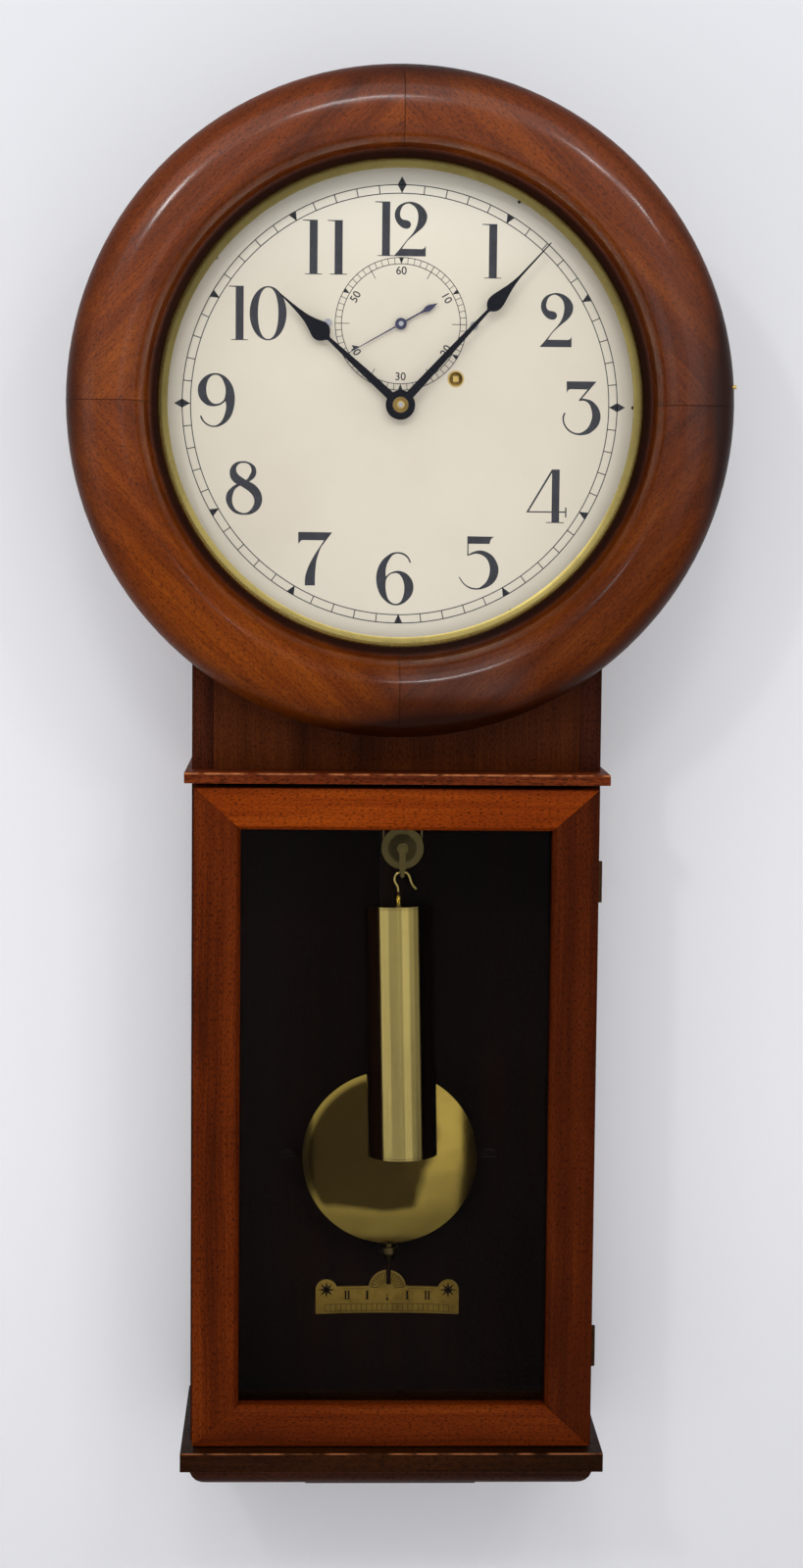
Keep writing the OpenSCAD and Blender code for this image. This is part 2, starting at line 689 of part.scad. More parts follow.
module seconds_hand() {
    color(blued) translate([escape_at[0], -seconds_d, dial_z + escape_at[1]])
        rotate([90, seconds_angle, 0]) difference() {
            union() {
                linear_extrude(0.6) polygon([[-0.5, 0], [-0.2, seconds_len], [0.2, seconds_len], [0.5, 0]]);
                linear_extrude(0.6) mirror([0, 1]) blade(26.7, 26.7, tail_outline);
                cylinder(h = 0.6, r = 3.7);
            }
            translate([0, 0, -1]) cylinder(h = 4, r = arbor_r);
        }
}

// Escapement and pendulum

module pallet_anchor() {
    span = 38.3;
    reach = escape_r + 0.5;
    tip = [reach * sin(span), escape_at[1] - pivot_at[1] + reach * cos(span)];
    color(steel) translate([pivot_at[0], -escape_d + 0.5, dial_z + pivot_at[1]]) rotate([90, 0, 0])
        linear_extrude(2.5) difference() {
            union() {
                circle(r = 3.6);
                for (s = [-1, 1]) polygon([[0, 3], [s * 9, -0.5], [s * (tip[0] + 2.4), tip[1] + 1.2],
                    [s * (tip[0] + 1.5), tip[1] - 1.8], [s * (tip[0] + 0.5), tip[1]], [s * 8, -4], [0, -2.6]]);
            }
            circle(r = arbor_r);
        }
    color(steel) bar(pivot_at, crutch_d, front_plate_d - crutch_d, arbor_r);
}
crutch_d = back_plate_d - 5;
rod_w = 16;
rod_t = 6;
module crutch() {
    fork_z = dial_z + pivot_at[1] - 92;
    color(brass) {
        difference() {
            union() {
                bar(pivot_at, crutch_d, 2.5, 4);
                board(-1.5, 1.5, crutch_d, crutch_d + 2, fork_z, dial_z + pivot_at[1]);
            }
            bar(pivot_at, crutch_d - 1, 5, arbor_r);
        }
        for (s = [-1, 1]) translate([s * (rod_w / 2 + 1.5), 0, 0])
            board(-1, 1, pendulum_d - 4, crutch_d + 2, fork_z - 3, fork_z);
        board(-rod_w / 2 - 2.5, rod_w / 2 + 2.5, crutch_d, crutch_d + 2, fork_z - 3, fork_z);
    }
}
bob_z = dial_z + pivot_at[1] - bob_drop;
module pendulum_rod() {
    top = dial_z + pivot_at[1];
    color(steel) board(-0.2, 0.2, pendulum_d - 5, pendulum_d + 5, top - 14, top + 10);
    color(brass) difference() {
        board(-5, 5, pendulum_d - 4, pendulum_d + 4, top - 34, top - 4);
        board(-0.2, 0.2, pendulum_d - 5, pendulum_d + 5, top - 14, top);
        board(-4, 4, pendulum_d - 3, pendulum_d + 3, top - 35, top - 24);
    }
    color(dark_walnut) {
        board(-4, 4, pendulum_d - 3, pendulum_d + 3, top - 34, top - 24);
        board(-rod_w / 2, rod_w / 2, pendulum_d - rod_t / 2, pendulum_d + rod_t / 2, bob_z - 20, top - 34);
    }
    color(steel) translate([0, -pendulum_d, bob_z - 89]) cylinder(h = 69, r = 1.6);
}
// The bob is a brass lens with a slot for the rod, from its top to below its middle
module pendulum_bob() {
    r = bob_dia / 2;
    rim = 1.2;
    rise = bob_t / 2 - rim;
    ball = (r * r + rise * rise) / (2 * rise);
    lens = [for (k = [0 : 12]) let (x = r * k / 12) [x, sqrt(ball * ball - x * x) - (ball - bob_t / 2)]];
    color(brass) difference() {
        translate([0, -pendulum_d, bob_z]) rotate([90, 0, 0]) rotate_extrude($fn = fine)
            polygon(concat(lens, [for (k = [12 : -1 : 0]) [lens[k][0], -lens[k][1]]]));
        bob_slot();
    }
}
module bob_slot() {
    gap = 0.2;
    board(-rod_w / 2 - gap, rod_w / 2 + gap, pendulum_d - rod_t / 2 - gap, pendulum_d + rod_t / 2 + gap,
        bob_z - 20 - gap, bob_z + 100);
    translate([0, -pendulum_d, bob_z - 89]) cylinder(h = 80, r = 1.6 + run_gap);
}
module rating_nut() {
    top = bob_z - bob_dia / 2 - 2.5;
    color(brass) difference() {
        union() {
            translate([0, -pendulum_d, top - 4]) cylinder(h = 4, r = 7);
            translate([0, -pendulum_d, top - 9]) cylinder(h = 5, r = 4);
            translate([0, -pendulum_d, top]) cylinder(h = 2.2, r = 4);
        }
        translate([0, -pendulum_d, top - 10]) cylinder(h = 14, r = 1.6 + run_gap);
    }
}

// Weight, pulley and cable

// The weight hangs from the top of its hook, which lies to one side, so it leans a little
hook_r = 1.1;
module hung() {
    translate([weight_x, -weight_d, hook_z]) rotate([0, -weight_tilt, 0]) children();
}
weight_off = -2.8;
weight_top = -20.8;
module weight() {
    r = weight_dia / 2;
    color(brass) hung() translate([weight_off, 0, weight_top - weight_len]) difference() {
        union() {
            cylinder(h = weight_len, r = r);
            translate([0, 0, weight_len]) cylinder(h = 5, r1 = 2.2, r2 = 3.2);
            translate([0, 0, weight_len + 5]) cylinder(h = 3, r1 = 3.2, r2 = 1.7);
        }
        translate([0, 0, weight_len - 6]) cylinder(h = 20, r = hook_r);
        rotate_extrude() polygon([[r - 0.4, 1.2], [r + 1, 0.6], [r + 1, 1.8]]);
        translate([0, 0, weight_len - 2.4]) rotate_extrude()
            polygon([[r - 0.4, 1.2], [r + 1, 0.6], [r + 1, 1.8]]);
    }
}
// Points of the hook's wire, as [right of, above] its bearing point
hook_path = [[-2.8, -24], [-2.8, -13], [-3.2, -9.5], [-4.8, -6.6], [-5.2, -4], [-4.3, -1.6], [-2.4, -0.25],
    [0, 0], [2.4, -0.25], [4.3, -1.9], [5.4, -5], [6.8, -8.6], [9.2, -11.6]];
module weight_hook() {
    color(brass) hung() rotate([90, 0, 0]) tube_along([for (p = hook_path) [p[0], p[1], 0]], hook_r, 8);
}
// A round tube along points in its own XY plane
module tube_along(points, r, sides) {
    n = len(points);
    ring = [for (i = [0 : n - 1], k = [0 : sides - 1])
        let (
            before = points[max(i - 1, 0)],
            after = points[min(i + 1, n - 1)],
            way = (after - before) / norm(after - before),
            a = 360 * k / sides
        )
        points[i] + r * [-way[1] * cos(a), way[0] * cos(a), sin(a)]];
    skin = [for (i = [0 : n - 2], k = [0 : sides - 1]) let (k1 = (k + 1) % sides)
        [[i * sides + k, i * sides + k1, (i + 1) * sides + k1], [i * sides + k, (i + 1) * sides + k1,
            (i + 1) * sides + k]]];
    polyhedron(ring, concat([for (pair = skin, face = pair) face],
        [[for (k = [sides - 1 : -1 : 0]) k], [for (k = [0 : sides - 1]) (n - 1) * sides + k]]));
}
strap_half = 5.2;
strap_t = 1.2;
module pulley_strap() {
    low = hook_z - hook_r - 0.4;
    color(brass) {
        for (s = [-1, 1]) translate([0, s * (strap_half + strap_t / 2), 0]) difference() {
            slab(weight_d - strap_t / 2, strap_t) union() {
                translate([weight_x, pulley_z]) circle(r = 3.7);
                translate([weight_x - 2.05, pulley_z - pulley_r - 0.4]) square([4.1, pulley_r + 0.4]);
                translate([weight_x - 1.2, low]) square([2.4, pulley_z - low]);
            }
            translate([weight_x, -weight_d + 5, pulley_z]) rotate([90, 0, 0]) cylinder(h = 10, r = 1.5);
        }
        board(weight_x - 1.2, weight_x + 1.2, weight_d - strap_half - strap_t, weight_d + strap_half + strap_t,
            low - strap_t, low);
    }
    color(steel) translate([weight_x, -weight_d + 7.2, pulley_z]) rotate([90, 0, 0])
        cylinder(h = 14.4, r = 1.5);
}
module pulley() {
    color(brass) translate([weight_x, -weight_d, pulley_z]) rotate([90, 0, 0]) rotate_extrude()
        polygon([[1.5 + run_gap, -4.6], [4, -4.6], [4, -3.4], [pulley_r - 4, -2.6], [pulley_r - 4, -3.6],
            [pulley_r, -3.6], [pulley_r, -3], [groove_r, -0.7], [groove_r, 0.7], [pulley_r, 3], [pulley_r, 3.6],
            [pulley_r - 4, 3.6], [pulley_r - 4, 2.6], [4, 3.4], [4, 4.6], [1.5 + run_gap, 4.6]]);
}
module pulley_cable() {
    color(brass) translate([weight_x, -weight_d, pulley_z]) rotate([90, 0, 0])
        rotate_extrude(angle = 180, start = 180) translate([loop_r + 0.1, 0])
            circle(r = cable_dia / 2, $fn = 16);
}
// A straight run of cable between two points given as [right of the middle, height]
module cable_run(from, to) {
    way = to - from;
    color(brass) translate([from[0], -weight_d, from[1]]) rotate([0, atan2(way[0], way[1]), 0])
        cylinder(h = norm(way), r = cable_dia / 2, $fn = 16);
}
module drum_side_cable() {
    cable_run([weight_x + loop_r + 0.1, pulley_z + 0.6],
        [drum_at[0] - drum_r - cable_dia - 0.8, dial_z + drum_at[1]]);
}
module stud_side_cable() {
    cable_run([weight_x - loop_r - 0.1, pulley_z + 0.3], [weight_x - loop_r - 0.1, dial_z + plate_low + 2.4]);
}

// Trunk door

module door_member(width, span, mitre) {
    // a mitred bar along X with its outer edge at z = 0 and its inner edge at z = width
    intersection() {
        translate([-span / 2, 0, 0]) rotate([90, 0, 90]) linear_extrude(span)
            polygon([[-door_back_d, 0], [-door_front_d, 0], [-door_front_d, width - door_bevel],
                [-door_front_d + door_bevel, width], [-door_glass_d - door_glass_t, width],
                [-door_glass_d - door_glass_t, width - 6], [-door_back_d, width - 6]]);
        translate([0, -door_back_d, 0]) rotate([90, 0, 0]) linear_extrude(door_t + 1)
            polygon([[-span / 2, 0], [span / 2, 0], [span / 2 - mitre, width], [-span / 2 + mitre, width]]);
    }
}
module door_rails() {
    color(walnut) {
        translate([0, 0, door_bottom]) door_member(rail_h, door_w, stile_w);
        translate([0, 0, door_top]) mirror([0, 0, 1]) door_member(rail_h, door_w, stile_w);
    }
}
module door_stiles() {
    color(walnut) difference() {
        for (s = [-1, 1]) mirror([s < 0 ? 1 : 0, 0, 0])
            translate([door_w / 2, 0, (door_top + door_bottom) / 2]) rotate([0, -90, 0])
                door_member(stile_w, door_h, rail_h);
        for (z = door_hinge_z) {
            knuckle(hinge_x, hinge_d, z, hinge_half + 0.2, knuckle_r + 0.2);
            board(leaf_x, hinge_x + 1, door_back_d - 1, door_back_d + leaf_t, z - hinge_half, z + hinge_half);
        }
    }
}
module door_glass() {
    edge = 5.6;
    color(pane) board(-door_w / 2 + stile_w - edge, door_w / 2 - stile_w + edge, door_glass_d,
        door_glass_d + door_glass_t, door_bottom + rail_h - edge, door_top - rail_h + edge);
}

// Hinges: two outer knuckles and the pin are fixed, and the middle knuckle turns with its door

door_hinge_z = [door_top - 62, door_bottom + 62];
bezel_hinge_z = [dial_z + 25, dial_z - 25];
hinge_half = 13.5;
knuckle_r = 2.2;
pin_r = 1.1;
leaf_t = 1;
arm_t = 3.4;
leaf_x = hinge_x - 12;
bezel_leaf_x = ring_r - 12;
module knuckle(x, depth, z, half, r) {
    translate([x, -depth, z - half]) cylinder(h = 2 * half, r = r);
}
module fixed_knuckles(x, depth, z, leaf_from, leaf_back, leaf_front) {
    mid = hinge_half / 3 + 0.1;
    for (k = [-1, 1]) {
        knuckle(x, depth, z + k * (hinge_half + mid) / 2, (hinge_half - mid) / 2, knuckle_r);
        board(x - 3, x, leaf_back, leaf_front,
            z + min(k * mid, k * hinge_half), z + max(k * mid, k * hinge_half));
    }
    board(leaf_from, x - knuckle_r - 0.2, leaf_back, leaf_front, z - hinge_half, z + hinge_half);
    knuckle(x, depth, z, hinge_half, pin_r);
}
module moving_knuckle(x, depth, z, leaf_from, leaf_back, leaf_front) {
    mid = hinge_half / 3 - 0.1;
    difference() {
        union() {
            knuckle(x, depth, z, mid, knuckle_r);
            board(leaf_from, x, leaf_back, leaf_front, z - mid, z + mid);
            board(leaf_from, x - knuckle_r - 0.2, leaf_back, leaf_front, z - hinge_half, z + hinge_half);
        }
        knuckle(x, depth, z, hinge_half, pin_r + run_gap);
    }
}
module hinges() {
    color(brass) {
        for (z = door_hinge_z) fixed_knuckles(hinge_x, hinge_d, z, leaf_x, case_d - leaf_t, case_d);
        for (z = bezel_hinge_z)
            fixed_knuckles(bezel_hinge_x, bezel_hinge_d, z, bezel_leaf_x, ring_front_d - arm_t, ring_front_d);
    }
}
module door_hinge_leaves() {
    color(brass) for (z = door_hinge_z)
        moving_knuckle(hinge_x, hinge_d, z, leaf_x, door_back_d, door_back_d + leaf_t);
}
module bezel_hinge_leaves() {
    color(brass) for (z = bezel_hinge_z)
        moving_knuckle(bezel_hinge_x, bezel_hinge_d, z, bezel_leaf_x, bezel_back_d, bezel_back_d + leaf_t);
    color(brass) rim_pin();
}
// A small brass pin in the right of the bezel's rim
module rim_pin() {
    translate([bezel_r - 8, -bezel_back_d - 20, dial_z + 12.5]) rotate([0, 90, 0]) cylinder(h = 7.9, r = 1.3);
}

// Bezel door

module bezel() {
    half = bezel_r - crest_r;
    in_half = crest_r - rebate_r - 3;
    lip = 0.45 * bezel_t;
    front = bezel_back_d + bezel_t;
    outer = [for (a = [0 : 7.5 : 90]) [crest_r + half * pow(cos(a), 0.8), bezel_back_d + 8
        + (bezel_t - 8) * pow(sin(a), 0.9)]];
    inner = [for (a = [82.5 : -7.5 : 0]) [crest_r - in_half * pow(cos(a), 0.85), bezel_back_d + lip
        + (bezel_t - lip) * pow(sin(a), 1.1)]];
    color(walnut) difference() {
        turned(concat(
            [[rebate_r, bezel_back_d], [bezel_r - 5, bezel_back_d], [bezel_r - 1.2, bezel_back_d + 4]],
            outer, inner, [[rebate_r + 2, bezel_back_d + lip - 2], [bezel_in_r, bezel_back_d + lip - 3],
            [bezel_in_r, dial_glass_d + dial_glass_t], [rebate_r, dial_glass_d + dial_glass_t]]));
        for (z = bezel_hinge_z) {
            knuckle(bezel_hinge_x, bezel_hinge_d, z, hinge_half + 0.2, knuckle_r + 0.2);
            board(bezel_leaf_x, bezel_hinge_x, bezel_back_d - 1, bezel_back_d + leaf_t, z - hinge_half,
                z + hinge_half);
        }
        rim_pin();
    }
}
module sight_ring() {
    d = dial_glass_d + dial_glass_t;
    color(brass) turned([[sight_in_r, d], [bezel_in_r - 0.1, d], [bezel_in_r - 0.1, d + 5],
        [bezel_in_r - 1.4, d + 5.6], [sight_in_r + 2, d + 2], [sight_in_r, d + 1]]);
}
module dial_glass() {
    front = dial_glass_d + dial_glass_t;
    color(pane) turned([[0, dial_glass_d], [rebate_r - 1, dial_glass_d], [rebate_r - 1, front], [0, front]]);
}

backboard();
carcass();
waist_panel();
shelf_moulding();
base_board();
apron();
steel_strip();
head_ring();
hanger_plate();
backboard_screws();
beat_plate();
movement_bracket();
back_plate();
front_plate();
pillars();
pillar_nuts();
suspension_cock();
dial();
dial_posts();
dial_screws();
dial_pins();
winding_collar();
cable_stud();
great_wheel();
click();
click_spring();
drum();
drum_cable();
centre_arbor();
centre_wheel();
third_wheel();
escape_arbor();
escape_wheel();
minute_wheel();
hour_wheel();
minute_hand();
hour_hand();
hand_nut();
seconds_hand();
pallet_anchor();
crutch();
pendulum_rod();
pendulum_bob();
rating_nut();
weight();
weight_hook();
pulley_strap();
pulley();
pulley_cable();
drum_side_cable();
stud_side_cable();
door_stiles();
door_rails();
door_glass();
hinges();
door_hinge_leaves();
bezel();
sight_ring();
dial_glass();
bezel_hinge_leaves();
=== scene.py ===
"""Looks of a wall regulator clock: turned wooden head, painted dial, glazed trunk door, brass weight and bob."""
import json
import math

import bmesh
import bpy
from mathutils import Matrix, Vector


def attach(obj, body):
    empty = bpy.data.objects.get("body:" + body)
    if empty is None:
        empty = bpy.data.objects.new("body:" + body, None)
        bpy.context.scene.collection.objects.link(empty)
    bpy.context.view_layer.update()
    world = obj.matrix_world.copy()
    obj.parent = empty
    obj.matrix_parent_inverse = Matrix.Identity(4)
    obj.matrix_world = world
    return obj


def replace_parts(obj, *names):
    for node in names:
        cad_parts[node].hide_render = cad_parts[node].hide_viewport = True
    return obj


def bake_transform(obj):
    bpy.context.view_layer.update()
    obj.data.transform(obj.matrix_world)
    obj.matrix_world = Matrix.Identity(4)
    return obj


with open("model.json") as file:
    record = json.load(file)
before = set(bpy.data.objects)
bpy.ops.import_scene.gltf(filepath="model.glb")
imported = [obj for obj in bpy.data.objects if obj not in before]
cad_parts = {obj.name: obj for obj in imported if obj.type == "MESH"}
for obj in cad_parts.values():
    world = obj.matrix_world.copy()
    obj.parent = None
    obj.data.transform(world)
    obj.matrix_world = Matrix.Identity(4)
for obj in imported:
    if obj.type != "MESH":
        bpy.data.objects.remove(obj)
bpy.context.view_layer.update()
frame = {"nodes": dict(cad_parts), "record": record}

MM = 0.001
DIAL_Z = -120 * MM
DIAL_FACE = 121.0 * MM
BOB_Z, BOB_R = -0.629, 0.06
NUT_DISC_Z = -0.6962
PULLEY_X, PULLEY_Z = 0.0055, -0.4106
WEIGHT_DEPTH = 80 * MM
HOOK_TOP_Z = -427.2 * MM
HOOK_LEAN = 1.45
WEIGHT_R = 0.02325
SHARP_ANGLE = math.radians(30)


def srgb(red, green, blue):
    """A colour as a paint chart gives it, 0 to 255, as the linear values that a shader takes."""
    def lin(v):
        v = v / 255
        return v / 12.92 if v < 0.04045 else ((v + 0.055) / 1.055) ** 2.4
    return (lin(red), lin(green), lin(blue), 1.0)


# Camera: the focal length and height of the photograph in pixels, and the place and turn that fit the clock's edges
FOCAL = 2946.0
IMAGE_HEIGHT = 1600
TURN_DOWN, TURN_RIGHT, ROLL = 0.091555, 0.032529, -0.009325
eye = Vector((-57.67, -1990.23, -192.66)) * MM
turn = (Matrix.Rotation(math.pi / 2, 3, "X") @ Matrix.Rotation(-TURN_RIGHT, 3, "Y")
        @ Matrix.Rotation(-TURN_DOWN, 3, "X") @ Matrix.Rotation(-ROLL, 3, "Z"))
lens = bpy.data.cameras.new("camera")
lens.sensor_width = 36
lens.lens = FOCAL / IMAGE_HEIGHT * 36
lens.clip_start = 0.05
camera = bpy.data.objects.new("camera", lens)
camera.matrix_world = Matrix.Translation(eye) @ turn.to_4x4()
bpy.context.scene.collection.objects.link(camera)
bpy.context.scene.camera = camera


class Value:
    """One output of a material's nodes. An expression on values adds its Math nodes."""

    def __init__(self, paint, socket):
        self.paint, self.socket = paint, socket

    def math(self, operation, *values, clamp=False):
        return self.paint.add("Math", {"operation": operation, "use_clamp": clamp}, *values)

    def __add__(self, other):
        return self.math("ADD", self, other)

    def __sub__(self, other):
        return self.math("SUBTRACT", self, other)

    def __rsub__(self, other):
        return self.math("SUBTRACT", other, self)

    def __mul__(self, other):
        return self.math("MULTIPLY", self, other)

    def __truediv__(self, other):
        return self.math("DIVIDE", self, other)

    def __abs__(self):
        return self.math("ABSOLUTE", self)

    def __pow__(self, other):
        return self.math("POWER", self, other)

    __radd__, __rmul__ = __add__, __mul__

    def sign(self):
        return self.math("SIGN", self)

    def least(self, other):
        return self.math("MINIMUM", self, other)

    def most(self, other):
        return self.math("MAXIMUM", self, other)

    def between(self, low, high, to_low=0.0, to_high=1.0):
        """0 below low, 1 above high, smooth between them."""
        return self.paint.add("MapRange", {"interpolation_type": "SMOOTHSTEP"}, self, low, high, to_low, to_high)


class Paint:
    """A material, whose every node comes from add()."""

    def __init__(self, name):
        self.material = bpy.data.materials.new(name)
        self.material.use_nodes = True
        self.tree = self.material.node_tree
        self.tree.nodes.clear()

    def add(self, kind, settings=None, *values, out=0, **named):
        node = self.tree.nodes.new("ShaderNode" + kind)
        for key, value in (settings or {}).items():
            if key == "stops":
                ramp = node.color_ramp.elements
                while len(ramp) < len(value):
                    ramp.new(0.5)
                for stop, (place, colour) in zip(ramp, value):
                    stop.position, stop.color = place, colour
            else:
                setattr(node, key, value)
        places = list(enumerate(values)) + [(k.replace("_", " "), v) for k, v in named.items()]
        for place, value in places:
            if value is None:
                continue
            socket = node.inputs[place]
            if isinstance(value, Value):
                self.tree.links.new(value.socket, socket)
            else:
                socket.default_value = value
        return Value(self, node.outputs[out]) if len(node.outputs) else node

    def place(self):
        """The object coordinates x, y and z, in metres in the clock's own frame."""
        where = self.add("TexCoord", out="Object")
        split = self.add("SeparateXYZ", None, where)
        return [Value(self, split.socket.node.outputs[k]) for k in range(3)]

    def vector(self, x, y, z):
        return self.add("CombineXYZ", None, x, y, z)

    def noise(self, where, detail=2.0, rough=0.5, distort=0.0):
        return self.add("TexNoise", None, Vector=where, Scale=1.0, Detail=detail, Roughness=rough, Distortion=distort)

    def ramp(self, value, stops):
        return self.add("ValToRGB", {"stops": stops}, value)

    def mix(self, factor, a, b):
        node = self.add("Mix", {"data_type": "RGBA", "clamp_factor": True}, factor, out=2)
        for place, value in ((6, a), (7, b)):
            socket = node.socket.node.inputs[place]
            if isinstance(value, Value):
                self.tree.links.new(value.socket, socket)
            else:
                socket.default_value = value
        return node

    def bump(self, height, strength, distance, normal=None):
        return self.add("Bump", None, Strength=strength, Distance=distance, Height=height, Normal=normal)

    def surface(self, **named):
        shader = self.add("BsdfPrincipled", None, **named)
        self.add("OutputMaterial", None, shader)
        return self.material


def shaded(colour, share):
    """A darker copy of a colour."""
    return tuple(share * v for v in colour[:3]) + (1.0,)


def grain_axes(paint, lie):
    """Coordinates across the grain, through the board and along the grain."""
    x, y, z = paint.place()
    if lie == "x":
        return z, y, x
    if lie == "z":
        return x, y, z
    height = z - DIAL_Z
    right, over = x.sign(), height.sign()
    along = (x * over - height * right) * 0.7071
    return (abs(x) + abs(height)) * 0.7071 + right * 0.31 + over * 0.17, y + right * over * 0.23, along


def wood(name, dark, middle, light, lie, gloss=0.45, coat=0.02, seed=0.0, contrast=1.0, coat_gloss=0.2, shine=0.03,
         wear_and_highlight=None, shade=None, ends_and_shade=None, dull=None):
    """Polished mahogany: ribbon bands, fibres and short dark pores along the grain.

    The last four are functions of the material, which say where its edges are worn, also with a painted highlight,
    where it has dark joints and a painted shadow, where it is darker with end grain and painted shade, and where the
    polish has gone dull."""
    m = Paint(name)
    across, through, along = grain_axes(m, lie)
    sway = m.noise(m.vector(across * 5 + seed, through * 5, along * 3), detail=2) - 0.5
    side = across + sway * 0.012
    bands = m.noise(m.vector(side * 75 + seed, through * 60, along * 2.2), detail=3, rough=0.55)
    fibre = m.noise(m.vector(side * 620, through * 620, along * 14 + seed), detail=3, rough=0.6)
    cloud = m.noise(m.vector(side * 13, through * 13 + seed, along * 5), detail=2, distort=0.4)
    flame = m.noise(m.vector(side * 26, through * 26, along * 21 + seed), detail=2, distort=0.8)
    pore = m.noise(m.vector(side * 1450, through * 1450, along * 380), detail=1)
    pores = pore.between(0.53, 0.62)
    tone = (bands * 0.42 + fibre * 0.26 + cloud * 0.32 - 0.5) * (1.7 * contrast) + 0.5 + (flame - 0.5) * 0.08
    colour = m.ramp(tone, [(0.25, dark), (0.5, middle), (0.78, light)])
    colour = m.mix(pores * (0.62 * contrast), colour, shaded(dark, 0.25))
    # Darker end grain and painted shade
    if ends_and_shade:
        colour = m.mix(ends_and_shade(m), colour, shaded(dark, 0.3))
    # Dark joints, and a painted shadow
    if shade:
        shadow = shade(m)
        colour = m.mix(shadow, colour, shaded(dark, 0.12))
        coat = (1 - shadow) * coat
    if dull:
        coat = (1 - dull(m)) * coat
    rough = gloss + (fibre - 0.5) * 0.12 + pores * 0.18 + cloud * 0.05
    # Worn edges, also painted lighter as a highlight
    if wear_and_highlight:
        worn = wear_and_highlight(m) * m.noise(m.vector(*[v * 90 for v in m.place()]), detail=3).between(0.35, 0.62)
        colour = m.mix(worn, colour, srgb(190, 118, 72))
        rough = rough + worn * 0.15
    normal = m.bump(fibre * 0.4 - pores, 0.10, 0.0003)
    return m.surface(Base_Color=colour, Roughness=rough, Normal=normal, Coat_Weight=coat,
                     Coat_Roughness=coat_gloss, Coat_IOR=1.38, Specular_IOR_Level=shine)


def bob_painted_reflection(m):
    """Painted reflection on the bob: dark at the left and under the weight, bright at the rim, brown at the foot."""
    x, y, z = m.place()
    across, up = x / BOB_R, (z - BOB_Z) / BOB_R
    cloud = m.noise(m.vector(x * 24, y, z * 24), detail=3) - 0.5
    radius = (across * across + up * up) ** 0.5
    dark = 1 - (across - up.least(0.0) * 0.38 + cloud * 0.3).between(0.42, 0.58)
    dark = dark * (up + cloud * 0.3).between(-0.66, -0.52) * (1 - radius.between(0.90, 0.98))
    return (dark * 0.95).most((1 - up.between(-0.75, -0.4)) * 0.45 + cloud * 0.3)


def weight_painted_reflection(m):
    """A painted dark reflection down the weight, to the right of its bright bands. It hangs with a slight lean."""
    x, y, z = m.place()
    side = (x + (z - HOOK_TOP_Z) * math.tan(math.radians(HOOK_LEAN)) - 0.0027) / WEIGHT_R
    return (side.between(0.36, 0.42) * 0.4).most(side.between(0.46, 0.56) * 0.9)


def nut_cone_painted_shade(m):
    """Painted shade on the cone under the bright disc of the rating nut."""
    return (1 - m.place()[2].between(NUT_DISC_Z, NUT_DISC_Z + 0.0008)) * 0.9


def sight_ring_painted_shade(m):
    """Painted shade and painted dark reflection over the upper half of the sight ring."""
    return 0.10 + (m.place()[2] - DIAL_Z).between(-0.11, 0.02) * 0.55


def pulley_web_painted_shade(m):
    """Painted shade on the pulley's web inside its brighter rim."""
    x, y, z = m.place()
    height, across = z - PULLEY_Z, x - PULLEY_X
    radius = (across * across + height * height) ** 0.5
    return 0.8 - radius.between(0.0088, 0.0096) * 0.5


def brass(name, colour, deep, gloss=0.25, grain=None, tarnish=0.5, scale=1.0, stains_and_shade=None, flat=None):
    """Brass with a drawn or turned finish and thin brown tarnish.

    The function given for the dark parts says where painted shade and painted dark reflections go. With flat, the
    shading turns towards the front, so that a lens shape reflects as a flatter one."""
    m = Paint(name)
    x, y, z = m.place()
    if grain == "z":
        lines = m.noise(m.vector(x * 1500, y * 1500, z * 9), detail=2)
    elif grain == "x":
        lines = m.noise(m.vector(x * 12, y * 1500, z * 1500), detail=2)
    elif grain == "ring":
        height = z - DIAL_Z
        radius = (x * x + height * height) ** 0.5
        lines = m.noise(m.vector(radius * 2200, y * 900, 0.0), detail=2)
    else:
        lines = m.noise(m.vector(x * 420, y * 420, z * 420), detail=3)
    blot = m.noise(m.vector(x * 38 * scale, y * 38 * scale, z * 38 * scale), detail=4, rough=0.62, distort=0.6)
    fine = m.noise(m.vector(x * 260, y * 260, z * 260), detail=3)
    dull = (blot * 0.7 + fine * 0.3).between(0.42, 0.72) * tarnish
    tone = m.mix(lines.between(0.3, 0.7) * 0.35, colour, shaded(colour, 0.82))
    tone = m.mix(dull, tone, deep)
    # Painted shade and painted dark reflection
    if stains_and_shade:
        tone = m.mix(stains_and_shade(m), tone, shaded(deep, 0.2))
    rough = gloss + dull * 0.25 + (lines - 0.5) * 0.12
    facing = None
    if flat:
        facing = m.add("VectorMath", {"operation": "ADD"}, m.add("NewGeometry", out="Normal"), (0.0, -flat, 0.0))
        facing = m.add("VectorMath", {"operation": "NORMALIZE"}, facing)
    return m.surface(Base_Color=tone, Metallic=1.0, Roughness=rough, Normal=m.bump(lines, 0.08, 0.0001, facing))


def metal(name, colour, gloss, scuff=0.3, metallic=1.0):
    """Plain steel or iron, lightly handled."""
    m = Paint(name)
    x, y, z = m.place()
    cloud = m.noise(m.vector(x * 120, y * 120, z * 120), detail=4, rough=0.6)
    fine = m.noise(m.vector(x * 1400, y * 1400, z * 500), detail=2)
    tone = m.mix(cloud.between(0.35, 0.7) * scuff, colour, shaded(colour, 0.55))
    rough = gloss + (cloud - 0.5) * 0.2 + (fine - 0.5) * 0.1
    return m.surface(Base_Color=tone, Metallic=metallic, Roughness=rough, Normal=m.bump(fine, 0.06, 0.0001))


